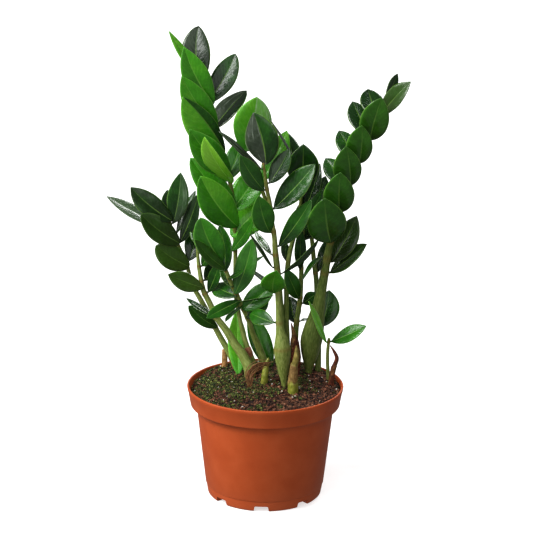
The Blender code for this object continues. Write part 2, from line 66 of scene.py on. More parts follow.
def add_node(tree, kind, inputs=None, stops=None, **settings):
    """A new shader node, with its options set and its inputs filled in or linked."""
    node = tree.nodes.new(kind)
    for key, value in settings.items():
        setattr(node, key, value)
    for key, value in (inputs or {}).items():
        if isinstance(value, bpy.types.NodeSocket):
            tree.links.new(value, node.inputs[key])
        else:
            node.inputs[key].default_value = value
    if stops:
        elements = node.color_ramp.elements
        while len(elements) < len(stops):
            elements.new(0.5)
        for element, (place, code) in zip(elements, stops):
            element.position = place
            element.color = hex_colour(code)
    return node


def new_material(name):
    """A material with a Principled shader: its node tree and that shader."""
    material = bpy.data.materials.new(name)
    material.use_nodes = True
    return material, material.node_tree, material.node_tree.nodes["Principled BSDF"]


print("terracotta in linear light:", [round(part, 3) for part in hex_colour("#b9582e")])

# %% [markdown]
# The leaflets, stems and shoots all grow from the solid model's own points. A solid arrives as
# loose triangles, so its corners are merged first. Then rings of corners can be walked, one after
# another, from a leaflet's tip to its foot or from the bottom of a stem to its top.

# %% Walk over a solid's corners
SAME_CORNER = 2e-5  # metres: corners closer than this are one


def merged_solid(node):
    """A solid's corners, each once, and which corners are joined by an edge."""
    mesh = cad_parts[node].data
    mesh.calc_loop_triangles()
    points = np.array([tuple(vertex.co) for vertex in mesh.vertices])
    triangles = np.array([tuple(triangle.vertices) for triangle in mesh.loop_triangles])
    keys = np.round(points / SAME_CORNER).astype(np.int64)
    _, first, index = np.unique(keys, axis=0, return_index=True, return_inverse=True)
    triangles = index.reshape(-1)[triangles]
    joined = {corner: set() for corner in range(len(first))}
    for a, b, c in triangles:
        if a != b and b != c and a != c:
            joined[a] |= {b, c}
            joined[b] |= {a, c}
            joined[c] |= {a, b}
    return points[first], joined


def rings_from(start, joined, most=200):
    """The rings of corners met when walking outwards from a set of corners."""
    seen = set(start)
    rings = [sorted(start)]
    while len(rings) < most:
        following = set().union(*(joined[corner] for corner in rings[-1])) - seen
        if not following:
            break
        seen |= following
        rings.append(sorted(following))
    return rings


corner_count = len(merged_solid("soil")[0])
print("corners of the soil, each once:", corner_count)

# %% [markdown]
# A stem's solid is a tube of rings, all with the same number of corners, apart from its two ends.
# The middle of each ring is a point of the stem's path, and the ring's size is its thickness there.
# The upper part only ever gets thinner. A leaflet's solid is a blade with four corners at each of
# four stations between its tip and its foot: the widest pair are the edges, and the other two tell
# the upper side from the underside.

# %% Trace the stems and the leaflets
LEVEL = 1e-5  # metres: corners this close in height lie in one flat end
FOOT_SIZE = 0.004  # metres: a larger last ring has run on into the strip that joins the leaflets
BOW_PLACE = 0.58  # how far along the blade its second station from the tip lies


def trace_stem(node):
    """A stem's middle points and radii, from its foot to its top."""
    points, joined = merged_solid(node)
    lowest = points[:, 2].min()
    foot = [i for i in joined if points[i, 2] < lowest + LEVEL]
    found = rings_from(foot, joined)
    sizes = [len(ring) for ring in found]
    usual = max(set(sizes), key=sizes.count)
    ends = (0, len(found) - 1)
    rings = [ring for number, ring in enumerate(found) if len(ring) == usual or number in ends]
    middles = np.array([points[ring].mean(axis=0) for ring in rings])
    radii = np.array([
        np.linalg.norm(points[ring] - middle, axis=1).mean() for ring, middle in zip(rings, middles)])
    for number in range(len(radii) // 3 + 1, len(radii)):
        radii[number] = min(radii[number], radii[number - 1])
    return middles, radii


def trace_leaflets(node):
    """Each leaflet of a rank, lowest first: its foot, its bow's middle, tip, upper side and width."""
    points, joined = merged_solid(node)
    found = []
    for tip in joined:
        if len(joined[tip]) != 4:
            continue
        rings = rings_from([tip], joined, most=6)
        if len(rings) < 6 or [len(ring) for ring in rings[1:5]] != [4, 4, 4, 4]:
            continue
        stations = []
        for ring in rings[1:5]:
            corners = points[ring]
            gaps = np.linalg.norm(corners[:, None] - corners[None], axis=2)
            a, b = np.unravel_index(gaps.argmax(), gaps.shape)
            c, d = [i for i in range(4) if i not in (a, b)]
            chord = (corners[a] + corners[b]) / 2
            if np.linalg.norm(corners[c] - chord) > np.linalg.norm(corners[d] - chord):
                c, d = d, c
            stations.append(((corners[c] + corners[d]) / 2, corners[c] - corners[d], gaps.max()))
        foot_ring = rings[5]
        foot = points[foot_ring].mean(axis=0)
        if np.linalg.norm(points[foot_ring] - foot, axis=1).max() > FOOT_SIZE:
            middle, _, _ = stations[3]
            near = sorted(foot_ring, key=lambda i: np.linalg.norm(points[i] - middle))[:4]
            foot = points[near].mean(axis=0)
        share = BOW_PLACE
        bow = stations[1][0] - foot * (1 - share) ** 2 - points[tip] * share**2
        bow = bow / (2 * share * (1 - share))
        upper = sum(direction / np.linalg.norm(direction) for _, direction, _ in stations)
        found.append((foot, bow, points[tip], upper / np.linalg.norm(upper), stations[1][2]))
    return sorted(found, key=lambda leaf: leaf[0][2])


RANKS = sorted(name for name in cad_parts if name.startswith(("leaves_", "cutting_")))
STEMS = sorted(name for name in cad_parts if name.startswith("stem_"))
leaflets = {name: trace_leaflets(name) for name in RANKS}
stems = {name: trace_stem(name) for name in STEMS}
print("leaflets:", {name: len(found) for name, found in leaflets.items()})
print("stems:", {name: len(found[0]) for name, found in stems.items()})

# %% [markdown]
# A ZZ leaflet is a thick waxy blade: an oval that narrows to a point, folded a little along its
# midrib, on a very short stalk. All the leaflets share that build, so one flat pattern is modelled
# first, as a fine grid that a Solidify modifier gives two faces and a rim. In the pattern, x runs
# from the left edge at -1 to the right edge at 1, y runs from the stalk at 0 to the tip at 1, and
# z tells the underside from the upper side. Each leaflet is then a copy whose points are moved to
# where that leaflet's solid says they belong.

# %% The leaflet pattern
ROWS_ALONG = 30
COLUMNS_ACROSS = 14


def deselect_all():
    if bpy.context.object and bpy.context.object.mode != "OBJECT":
        bpy.ops.object.mode_set(mode="OBJECT")
    bpy.ops.object.select_all(action="DESELECT")


def apply_modifiers(piece):
    """Applies every modifier of a piece, in order."""
    deselect_all()
    piece.select_set(True)
    bpy.context.view_layer.objects.active = piece
    for modifier in list(piece.modifiers):
        bpy.ops.object.modifier_apply(modifier=modifier.name)


def points_of(piece):
    """A piece's points as an array."""
    flat = np.zeros(len(piece.data.vertices) * 3, np.float32)
    piece.data.vertices.foreach_get("co", flat)
    return flat.reshape(-1, 3).astype(float)


def take_pattern(piece):
    """A pattern's points and faces, for copies of it. The pattern itself is removed."""
    points, faces = points_of(piece), [tuple(face.vertices) for face in piece.data.polygons]
    bpy.data.objects.remove(piece)
    return points, faces


deselect_all()
bpy.ops.mesh.primitive_grid_add(x_subdivisions=COLUMNS_ACROSS, y_subdivisions=ROWS_ALONG, size=2)
pattern = bpy.context.object
pattern.name = "leaflet_pattern"
bpy.ops.object.mode_set(mode="EDIT")
bpy.ops.mesh.select_all(action="SELECT")
bpy.ops.transform.translate(value=(0, 1, 0))
bpy.ops.transform.resize(value=(1, 0.5, 1), center_override=(0, 0, 0))
bpy.ops.object.mode_set(mode="OBJECT")
thicken = pattern.modifiers.new("two faces", "SOLIDIFY")
thicken.thickness = 1
thicken.offset = 0
apply_modifiers(pattern)
pattern_points, pattern_faces = take_pattern(pattern)
print("leaflet pattern:", len(pattern_points), "points", len(pattern_faces), "faces")

# %% [markdown]
# No two leaflets of a real plant are alike. Most differences come from the solids, but some blades
# are broader or slimmer, blunter, twisted or bowed beyond what their simple solids show. Those are
# listed here. A share or a number in a row of them belongs to one leaflet, lowest first.

# %% How single blades differ
BROADENING = 1.14  # a real blade's margins reach past the solid's straight-sided outline
WIDTH_SHARES = {
    "leaves_right_tall_front": (1.0, 0.95, 0.90, 0.84, 0.84, 0.9),
    "leaves_right_tall_back": (0.95,) * 5,
    "leaves_centre_left": (1, 1, 1, 1, 1, 0.95, 0.95, 1),
    "leaves_middle_front_right": (1, 0.9, 0.9, 1, 0.9, 0.9),
    "leaves_tall_left_right": (1, 1, 1.35, 1.3, 1.35, 1.5, 1.0, 1.08),
    "leaves_tall_left_left": (1, 1, 1.3, 1, 1, 1, 1, 1),
    "leaves_left_back_left": (1, 1.12, 1.08, 1.0, 1.05),
    "leaves_left_back_right": (1.05, 1.0, 1.05, 1.1),
}
# How round the outline is: less is rounder, and closer to a coin than to a lens
USUAL_ROUNDNESS = 0.66
ROUNDNESS = {
    "leaves_left_back_left": 0.56, "leaves_middle_front_left": 0.56, "leaves_middle_front_right": 0.56,
    "leaves_left_front_right": 0.56, "leaves_right_tall_front": 0.52, "leaves_right_tall_back": 0.56,
    "leaves_centre_back_left": 0.56,
}
# How quickly a blade opens out from its tip: more is blunter
DRAWN_OUT = 4.6
BLUNT_TIPS = {
    ("leaves_left_back_left", 0): 12, ("leaves_left_back_left", 1): 12, ("leaves_left_back_left", 2): 8,
    ("leaves_tall_left_left", 0): 8, ("leaves_tall_left_left", 1): 7, ("leaves_tall_left_right", 5): 9,
    ("leaves_tall_left_right", 7): 14, ("leaves_tall_left_right", 6): 9,
    ("leaves_middle_front_left", 5): 9, ("leaves_centre_back_left", 0): 6,
}
# Blades that twist, so that one half shows more: how much wider the left half is than the right
TWISTED = {
    ("leaves_tall_left_left", 4): 0.45, ("leaves_tall_left_left", 2): 0.1,
    ("leaves_right_tall_front", 3): 0.2, ("leaves_right_tall_front", 2): 0.2,
}
# Blades that bow sideways: how far the curve is pulled to the right
BOWED = {("leaves_tall_left_right", 7): -16 * MM, ("leaves_tall_left_right", 5): -5 * MM}
# Blades whose upper side faces another way than their solid's
FACING = {("leaves_tall_left_left", 2): (-0.5, -0.75, 0.45)}
# Ranks whose leaflets sit on the front of their stem, and how far to the right of its middle
IN_FRONT = {
    "leaves_tall_left_left": 3.5 * MM, "leaves_left_back_left": 3 * MM, "leaves_left_front_left": 1 * MM,
    "leaves_middle_front_left": 1 * MM, "leaves_middle_front_right": -1 * MM,
    "leaves_right_tall_front": 0.0, "leaves_tall_left_right": -4 * MM,
}


def form_of(name, number):
    """The outline, width, twist and bow of one leaflet's blade."""
    return {
        "roundness": ROUNDNESS.get(name, USUAL_ROUNDNESS),
        "opening": BLUNT_TIPS.get((name, number), DRAWN_OUT),
        "width": WIDTH_SHARES[name][number] if name in WIDTH_SHARES else 1,
        "twisted": TWISTED.get((name, number), 0),
        "bowed": BOWED.get((name, number), 0),
    }


print("ranks with widths of their own:", len(WIDTH_SHARES), "blunt tips:", len(BLUNT_TIPS))

# %% [markdown]
# The shape of a real leaflet comes from a few rules. Its half width follows a sine along its
# length, so both ends close smoothly, and near the tip a straight taper takes over, which draws the
# tip out to a point. The two halves rise from the midrib and turn down again at their margins. The
# midrib is a fine groove above and a ridge below, and the blade is thickest along it. A small
# random fold, ripple and curl in each leaflet keeps any two from looking alike.

# %% Shape one leaflet
STALK_SHARE = 0.05
STALK_HALF_WIDTH = 1.0 * MM
EDGE_HALF_WIDTH = 0.15 * MM  # what is left of the width at the very tip
BLADE_THICKNESS = 1.0 * MM
STRAIGHTENED = 0.35  # a real blade curves less than its solid does, by this share
COLUMN_CROWDING = 1.45  # more than 1 draws the pattern's columns in towards the midrib
FOLD_DEGREES = (9, 16)
RIPPLE_SHARE = 0.035  # of the half width
GROOVE_DEPTH, RIDGE_DEPTH = 0.22 * MM, 0.38 * MM
CURL_SHARE = -0.02  # of the length: tips hang back a little


def unit(vectors):
    """Vectors made one long."""
    return vectors / np.linalg.norm(vectors, axis=1)[:, None]


def outline_of(along, half, form):
    """The half width along the blade: a rounded oval that a taper draws out to a point."""
    oval = np.maximum(np.sin(np.pi * along**1.05), 1e-6) ** form["roundness"]
    point = form["opening"] * (1.003 - along)
    outline = np.maximum(half * (oval**-4 + point**-4) ** -0.25, EDGE_HALF_WIDTH)
    return np.where(along < 0.3, np.maximum(outline, STALK_HALF_WIDTH), outline)


def shape_leaflet(leaf, stalk_start, form, rng):
    """The pattern's points moved to one leaflet's place, with how far across and along each lies."""
    foot, bow, tip, upper, width = leaf
    bow = bow + ((foot + tip) / 2 - bow) * STRAIGHTENED
    bow = bow + np.array((form["bowed"], 0, 0))
    width = width * BROADENING * form["width"]
    across = np.sign(pattern_points[:, 0]) * np.abs(pattern_points[:, 0]) ** COLUMN_CROWDING
    along = np.clip((pattern_points[:, 1] - STALK_SHARE) / (1 - STALK_SHARE), 0, 1)
    stalk = np.clip(pattern_points[:, 1] / STALK_SHARE, 0, 1)
    side = np.sign(pattern_points[:, 2])
    # The midrib follows one smooth curve from foot to tip
    t = along[:, None]
    middle = foot * (1 - t) ** 2 + bow * 2 * t * (1 - t) + tip * t**2
    middle += (stalk_start - foot) * (1 - stalk[:, None])
    heading = unit((bow - foot) * (1 - t) + (tip - bow) * t)
    normal = unit(upper - heading * (heading @ upper)[:, None])
    left = np.cross(normal, heading)
    # How far each point is raised: the fold, the margins' turn, the ripple and the midrib
    half = width / 2
    outline = outline_of(along, half, form)
    fold = math.radians(rng.uniform(*FOLD_DEGREES))
    waves = np.sin(2 * np.pi * (along * rng.uniform(1.2, 2.0) + rng.uniform()))
    rise = outline * (math.tan(fold) * (np.sqrt(across**2 + 0.006) - 0.077) - 0.09 * across**4)
    rise += RIPPLE_SHARE * half * waves * across**2 * np.sin(np.pi * along)
    groove = np.exp(-((across / 0.07) ** 2)) * np.sin(np.pi * np.clip(along, 0, 1)) ** 0.5
    thick = BLADE_THICKNESS / 2 * (1 - 0.62 * across**2) * (1 - 0.45 * along)
    thick = np.where(along <= 0, STALK_HALF_WIDTH * np.sqrt(1.02 - across**2), thick)
    above = thick - GROOVE_DEPTH * groove
    below = -thick - RIDGE_DEPTH * groove * (1 - 0.8 * along)
    rise += np.where(side > 0, above, below)
    curl = CURL_SHARE * np.linalg.norm(tip - foot) * rng.uniform(0.2, 1.6) * along**4
    twisted = form["twisted"]
    reach = outline * across * (1 - twisted * np.sign(across)) + twisted * outline
    placed = middle - left * reach[:, None] + normal * (rise + curl)[:, None]
    return placed, across, along, side


usual_form = form_of("usual", 0)
usual_outline = outline_of(np.linspace(0, 1, 5), 10 * MM, usual_form)
print("half widths of a blade 20 mm wide, in mm:", [round(float(w / MM), 1) for w in usual_outline])

# %% [markdown]
# Colour differs from leaflet to leaflet: new ones are yellow-green, older ones deep green and some
# of the oldest a dull olive. On some, light caught by the waxy skin makes one half look grey, and
# that is painted on as a grey sheen. On a few, one half is painted lighter or darker than the other,
# as painted light and shade on the folded blade. Each leaflet therefore carries its own tone from 0
# (darkest) to 1 (freshest), how much painted sheen each half has and how olive it is. They are
# stored on the mesh as attributes, and the leaf material reads them.

# %% Tones of the leaflets
# Lowest leaflet first: tone, painted sheen on the left half, painted sheen on the right half and,
# where the right half has another tone, that tone. The painted sheen stands for light caught by the
# waxy skin, and the right half's own tone paints light and shade on that half.
TONES = {
    "leaves_left_back_left": [
        (0.36, 0.1, 0.05), (0.36, 0.1, 0.05), (0.25, 0.1, 0.25), (0.30, 1.0, 0.9), (0.20, 0.1, 0.1)],
    "leaves_left_back_right": [(0.22, 0, 0.1), (0.12, 0.3, 0.1), (0.2, 0, 0.1), (0.26, 0.1, 0.5)],
    "leaves_left_back_rear": [(0.15, 0.1, 0)],
    "leaves_left_front_left": [(0.18, 0, 0), (0.34, 0.1, 0)],
    "leaves_left_front_right": [(0.25, 0, 0), (0.15, 0, 0), (0.35, 0, 0), (0.3, 0.2, 0)],
    "leaves_middle_front_left": [
        (0.35, 0, 0), (0.3, 0, 0), (0.3, 0, 0), (0.25, 0, 0), (0.4, 0.2, 0), (0.52, 0.25, 0.05)],
    "leaves_middle_front_right": [
        (0.3, 0, 0), (0.48, 0, 0.1), (0.3, 0.2, 0), (0.48, 0.35, 0.25), (0.3, 0, 0), (0.3, 0.1, 0)],
    "leaves_tall_left_left": [
        (0.58, 0, 0, 0.74), (0.54, 0, 0.05, 0.62), (1.0, 0.1, 0), (0.58, 0, 0.05), (0.72, 0.05, 0, 0.3),
        (0.70, 0, 0, 0.62), (0.58, 0.05, 0, 0.66), (0.74, 0, 0)],
    "leaves_tall_left_right": [
        (0.3, 0, 0), (0.5, 0, 0), (0.76, 0, 0), (0.68, 0, 0.05), (0.42, 0, 0), (0.10, 0.75, 0),
        (0.22, 0, 0.08), (0.08, 0.45, 0.1)],
    "leaves_centre_left": [
        (0.35, 0, 0), (0.62, 0, 0.1), (0.2, 0, 0), (0.2, 0, 0), (0.3, 0, 0), (0.45, 0.05, 0),
        (0.38, 0.25, 0.1), (0.08, 0.8, 0.6)],
    "leaves_centre_right": [
        (0.2, 0, 0), (0.3, 0, 0.1), (0.26, 0, 0.05), (0.2, 0.2, 0), (0.12, 0.75, 0.05, 0.24)],
    "leaves_centre_back_left": [(0.74, 0.12, 0.8)],
    "leaves_centre_back_right": [(0.72, 0, 0)],
    "leaves_middle_back_left": [(0.2, 0.2, 0), (0.2, 0, 0), (0.1, 0.7, 0.7)],
    "leaves_middle_back_right": [(0.22, 0, 0), (0.14, 0, 0)],
    "leaves_middle_back_front": [(0.2, 0.1, 0)],
    "leaves_right_inner_left": [(0.35, 0, 0), (0.2, 0, 0)],
    "leaves_right_inner_rear": [(0.15, 0, 0)],
    "leaves_right_inner_right": [(0.3, 0, 0), (0.25, 0, 0), (0.16, 0, 0)],
    "leaves_right_back_left": [(0.18, 0, 0), (0.15, 0, 0)],
    "leaves_right_back_right": [(0.3, 0, 0), (0.2, 0, 0), (0.15, 0, 0)],
    "leaves_right_tall_front": [
        (0.42, 0, 0, 0.35), (0.46, 0, 0, 0.36), (0.44, 0, 0, 0.38), (0.46, 0, 0, 0.38), (0.42, 0, 0, 0.35),
        (0.26, 0.2, 0.3)],
    "leaves_right_tall_back": [(0.24, 0, 0), (0.22, 0, 0), (0.16, 0, 0), (0.16, 0, 0), (0.16, 0.2, 0)],
    "leaves_right_tall_low": [(0.2, 0, 0), (0.12, 0, 0)],
    "leaves_right_tall_inner": [(0.25, 0.1, 0)],
    "leaves_right_short_left": [(0.85, 0, 0)],
    "leaves_right_short_right": [(0.45, 0.1, 0)],
    "cutting_left": [(0.78, 0, 0)],
    "cutting_right": [(0.5, 0, 0)],
}
# How olive each leaflet is, in the ranks where any is
OLIVE = {
    "leaves_left_back_left": (0.2, 0.9, 0.5, 0, 0.1),
    "leaves_left_front_left": (0, 0.9),
    "leaves_right_tall_front": (0.3, 0.35, 0.4, 0.4, 0.4, 0.5),
    "leaves_middle_front_left": (0, 0, 0, 0.3, 0.5, 0),
    "leaves_right_tall_low": (0.3, 0.3),
}
print("tones for", sum(len(tones) for tones in TONES.values()), "leaflets")

# %% [markdown]
# The leaf material is a waxy cuticle over green tissue. Its colour starts from the leaflet's tone,
# with painted shade that darkens each blade towards its foot. A pale midrib, a thin translucent
# margin, faint veins that leave the midrib at a sharp angle and curve forwards, and pale dots are
# laid over it. On top of these come a painted grey sheen and painted streak-shaped highlights where
# light catches the waxy skin. The underside is paler and less glossy. The veins and a very fine
# grain also drive the bump, and the flesh between the veins is gently puckered, which breaks the
# shine up.

# %% Leaf material: waxy green leaf
# Deep to fresh green with a soft, slightly broken gloss, a painted grey sheen and painted highlights
# where light catches the waxy skin, and painted shade towards each blade's foot
leaf_material, tree, shader = new_material("waxy_green_leaf")
place = add_node(tree, "ShaderNodeUVMap", uv_map="leaf")
split = add_node(tree, "ShaderNodeSeparateXYZ", {0: place.outputs[0]})
across_node, along_node = split.outputs[0], split.outputs[1]
position = add_node(tree, "ShaderNodeTexCoord").outputs["Object"]
tone = add_node(tree, "ShaderNodeAttribute", attribute_name="tone").outputs["Fac"]
# How much painted grey sheen each point carries, standing for light caught by the waxy skin
painted_sheen = add_node(tree, "ShaderNodeAttribute", attribute_name="painted_sheen").outputs["Fac"]
under = add_node(tree, "ShaderNodeAttribute", attribute_name="under").outputs["Fac"]
olive = add_node(tree, "ShaderNodeAttribute", attribute_name="olive").outputs["Fac"]
# Mottling from a cloud pattern of about 9 mm, and grain of about 1 mm
clouds = add_node(
    tree, "ShaderNodeTexNoise", {"Vector": position, "Scale": 1 / (9 * MM), "Detail": 4, "Roughness": 0.6})
grain = add_node(tree, "ShaderNodeTexNoise", {"Vector": position, "Scale": 1 / (1.0 * MM), "Detail": 2})
varied = add_node(
    tree, "ShaderNodeMath", {0: clouds.outputs[0], 1: 0.30, 2: -0.15}, operation="MULTIPLY_ADD")
varied = add_node(tree, "ShaderNodeMath", {0: tone, 1: varied.outputs[0]}, operation="ADD")
# Painted shade: each blade is darker towards its foot, where the leaflets overlap and shade it
painted_base_shade = add_node(tree, "ShaderNodeMapRange", {0: along_node, 1: 0.0, 2: 0.6, 3: -0.13, 4: 0.02})
varied = add_node(
    tree, "ShaderNodeMath", {0: varied.outputs[0], 1: painted_base_shade.outputs[0]}, operation="ADD",
    use_clamp=True)
green = add_node(tree, "ShaderNodeValToRGB", {"Fac": varied.outputs[0]}, stops=[
    (0.0, "#0b1c08"), (0.2, "#15380c"), (0.42, "#2f6d16"), (0.68, "#4ca01e"), (1.0, "#8ccf3a")])
# How far a point is from the midrib: 0 on it, 1 at the margin
off = add_node(tree, "ShaderNodeMath", {0: across_node, 1: 2.0, 2: -1.0}, operation="MULTIPLY_ADD")
off = add_node(tree, "ShaderNodeMath", {0: off.outputs[0]}, operation="ABSOLUTE").outputs[0]
# Side veins: stripes along the blade, swept forwards by the distance from the midrib
sweep = add_node(tree, "ShaderNodeMath", {0: off, 1: 0.75}, operation="POWER")
sweep = add_node(
    tree, "ShaderNodeMath", {0: sweep.outputs[0], 1: -0.34, 2: along_node}, operation="MULTIPLY_ADD")
wobble = add_node(
    tree, "ShaderNodeMath", {0: clouds.outputs[0], 1: 0.12, 2: sweep.outputs[0]}, operation="MULTIPLY_ADD")
stripes = add_node(
    tree, "ShaderNodeMath", {0: wobble.outputs[0], 1: 2 * math.pi * 10}, operation="MULTIPLY")
stripes = add_node(tree, "ShaderNodeMath", {0: stripes.outputs[0]}, operation="SINE")
veins = add_node(
    tree, "ShaderNodeMapRange", {0: stripes.outputs[0], 1: 0.55, 2: 1.0, 3: 0.0, 4: 1.0},
    interpolation_type="SMOOTHSTEP")
faded = add_node(tree, "ShaderNodeMapRange", {0: clouds.outputs[0], 1: 0.35, 2: 0.65, 3: 0.02, 4: 0.20})
veined = add_node(tree, "ShaderNodeMath", {0: veins.outputs[0], 1: faded.outputs[0]}, operation="MULTIPLY")
lit_green = add_node(
    tree, "ShaderNodeHueSaturation", {"Color": green.outputs[0], "Saturation": 0.92, "Value": 1.9})
body = add_node(
    tree, "ShaderNodeMix", {0: veined.outputs[0], 6: green.outputs[0], 7: lit_green.outputs[0]},
    data_type="RGBA")
# The midrib, which fades towards the tip, and the thin pale margin
rib_fade = add_node(tree, "ShaderNodeMapRange", {0: along_node, 1: 0.3, 2: 1.0, 3: 0.9, 4: 0.15})
rib = add_node(
    tree, "ShaderNodeMapRange", {0: off, 1: 0.016, 2: 0.064, 3: 1.0, 4: 0.0},
    interpolation_type="SMOOTHSTEP")
rib = add_node(tree, "ShaderNodeMath", {0: rib.outputs[0], 1: rib_fade.outputs[0]}, operation="MULTIPLY")
pale_green = add_node(
    tree, "ShaderNodeMix", {0: 0.5, 6: lit_green.outputs[0], 7: hex_colour("#8fb64e")}, data_type="RGBA")
body = add_node(
    tree, "ShaderNodeMix", {0: rib.outputs[0], 6: body.outputs[2], 7: pale_green.outputs[2]},
    data_type="RGBA")
margin = add_node(
    tree, "ShaderNodeMapRange", {0: off, 1: 0.91, 2: 0.97, 3: 0.0, 4: 0.75},
    interpolation_type="SMOOTHSTEP")
body = add_node(
    tree, "ShaderNodeMix", {0: margin.outputs[0], 6: body.outputs[2], 7: pale_green.outputs[2]},
    data_type="RGBA")
# Painted sheen: grey laid on where light catches the waxy skin, broken up by the clouds, and pale
# dots about half a millimetre across
painted_sheen_patches = add_node(tree, "ShaderNodeMapRange", {0: clouds.outputs[0], 1: 0.3, 2: 0.7, 3: 0.45, 4: 0.8})
painted_sheen_patches = add_node(tree, "ShaderNodeMath", {0: painted_sheen_patches.outputs[0], 1: painted_sheen}, operation="MULTIPLY")
body = add_node(
    tree, "ShaderNodeMix", {0: painted_sheen_patches.outputs[0], 6: body.outputs[2], 7: hex_colour("#565f50")},
    data_type="RGBA")
# Painted highlights: pale streak-shaped glints along the blade, about 2 mm by 15 mm, where light
# catches the waxy skin most
streak_place = add_node(tree, "ShaderNodeCombineXYZ", {0: across_node, 1: along_node})
streak_place = add_node(
    tree, "ShaderNodeMapping", {"Vector": streak_place.outputs[0], "Scale": (11, 1.8, 1)})
random_place = add_node(tree, "ShaderNodeVectorMath", {0: streak_place.outputs[0], 1: painted_sheen}, operation="ADD")
painted_highlight_streaks = add_node(
    tree, "ShaderNodeTexNoise",
    {"Vector": random_place.outputs[0], "Scale": 1.0, "Detail": 3, "Roughness": 0.6})
painted_highlight_streaks = add_node(
    tree, "ShaderNodeMapRange", {0: painted_highlight_streaks.outputs[0], 1: 0.52, 2: 0.70, 3: 0.0, 4: 0.5},
    interpolation_type="SMOOTHSTEP")
painted_highlight_streaks = add_node(tree, "ShaderNodeMath", {0: painted_highlight_streaks.outputs[0], 1: painted_sheen}, operation="MULTIPLY")
body = add_node(
    tree, "ShaderNodeMix", {0: painted_highlight_streaks.outputs[0], 6: body.outputs[2], 7: hex_colour("#b4c2ae")},
    data_type="RGBA")
dots = add_node(tree, "ShaderNodeTexVoronoi", {"Vector": position, "Scale": 1 / (2.2 * MM)}, feature="F1")
dots = add_node(tree, "ShaderNodeMapRange", {0: dots.outputs[0], 1: 0.10, 2: 0.17, 3: 0.16, 4: 0.0})
body = add_node(
    tree, "ShaderNodeMix", {0: dots.outputs[0], 6: body.outputs[2], 7: lit_green.outputs[0]},
    data_type="RGBA")
# Some older blades are a dull olive
olive_share = add_node(tree, "ShaderNodeMath", {0: olive, 1: 0.7}, operation="MULTIPLY")
body = add_node(
    tree, "ShaderNodeMix", {0: olive_share.outputs[0], 6: body.outputs[2], 7: hex_colour("#43561c")},
    data_type="RGBA")
# The underside
underside = add_node(
    tree, "ShaderNodeMix", {0: 0.42, 6: lit_green.outputs[0], 7: hex_colour("#7f8f6c")}, data_type="RGBA")
under_share = add_node(tree, "ShaderNodeMath", {0: under, 1: 0.6}, operation="MULTIPLY")
body = add_node(
    tree, "ShaderNodeMix", {0: under_share.outputs[0], 6: body.outputs[2], 7: underside.outputs[2]},
    data_type="RGBA")
tree.links.new(body.outputs[2], shader.inputs["Base Color"])
shine = add_node(tree, "ShaderNodeMapRange", {0: grain.outputs[0], 1: 0.3, 2: 0.7, 3: 0.17, 4: 0.27})
shine = add_node(tree, "ShaderNodeMath", {0: under, 1: 0.25, 2: shine.outputs[0]}, operation="MULTIPLY_ADD")
tree.links.new(shine.outputs[0], shader.inputs["Roughness"])
shader.inputs["IOR"].default_value = 1.45
shader.inputs["Specular IOR Level"].default_value = 0.42
shader.inputs["Coat Weight"].default_value = 0.15
shader.inputs["Coat Roughness"].default_value = 0.12
relief = add_node(
    tree, "ShaderNodeMath", {0: grain.outputs[0], 1: 0.35, 2: veins.outputs[0]}, operation="MULTIPLY_ADD")
# The flesh between the veins is a little puckered, over about 6 mm, which breaks the shine into glints
pucker = add_node(tree, "ShaderNodeTexNoise", {"Vector": position, "Scale": 1 / (6 * MM), "Detail": 1.5})
pucker = add_node(
    tree, "ShaderNodeMath", {0: stripes.outputs[0], 1: 0.02, 2: pucker.outputs[0]},
    operation="MULTIPLY_ADD")
puckered = add_node(
    tree, "ShaderNodeBump", {"Height": pucker.outputs[0], "Distance": 0.8 * MM, "Strength": 0.5})
bump = add_node(tree, "ShaderNodeBump", {
    "Height": relief.outputs[0], "Distance": 0.12 * MM, "Strength": 0.5, "Normal": puckered.outputs[0]})
tree.links.new(bump.outputs[0], shader.inputs["Normal"])
print("leaf material:", len(tree.nodes), "nodes")


# %% [markdown]
# Every new piece is made the same way: a mesh from points and faces, smooth, with one material, that
# rides on the plant's one body. Where a piece is many copies of one pattern, the pattern's faces are
# repeated, each copy counting on from the last copy's points. Numbers that a material needs at each
# point, such as a leaflet's tone, are kept on the mesh as named attributes.

# %% Make a piece and keep numbers on it
def mesh_from(name, points, faces, material):
    """A new piece from points and faces, smooth, riding on the plant's one body."""
    mesh = bpy.data.meshes.new(name)
    mesh.from_pydata([tuple(point) for point in points], [], faces)
    mesh.polygons.foreach_set("use_smooth", [True] * len(mesh.polygons))
    mesh.materials.append(material)
    piece = bpy.data.objects.new(name, mesh)
    bpy.context.scene.collection.objects.link(piece)
    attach(piece, "root")
    return piece


def repeated(pattern, copies):
    """The faces of many copies of a pattern of points and faces."""
    points, faces = pattern
    return [
        tuple(corner + copy * len(points) for corner in face) for copy in range(copies) for face in faces]


def store(piece, name, values):
    """Keeps one number for each point of a piece."""
    attribute = piece.data.attributes.new(name, "FLOAT", "POINT")
    attribute.data.foreach_set("value", np.asarray(values, np.float32))


def store_vectors(piece, name, values):
    """Keeps one vector for each point of a piece."""
    attribute = piece.data.attributes.new(name, "FLOAT_VECTOR", "POINT")
    attribute.data.foreach_set("vector", np.asarray(values, np.float32).ravel())


leaflet_pattern = (pattern_points, pattern_faces)
print("faces of three leaflets:", len(repeated(leaflet_pattern, 3)))

# %% [markdown]
# Each leaflet grows from the nearest place on its stem, and its short stalk starts just inside the
# stem's skin. A cutting has no stem: its stalk comes up out of the soil. A rank's leaflets are then
# joined into one piece, because the solid model has one piece for each rank. Its UV map says how far
# across and along its leaflet each point lies, so that the midrib and veins can follow the blade.

# %% Grow the leaflets of every rank
STALK_STARTS = 0.35  # of the way from the stem's middle to where the leaflet's solid starts
CUTTING_DEPTH = 8 * MM
SKIN_GAP = 0.9 * MM


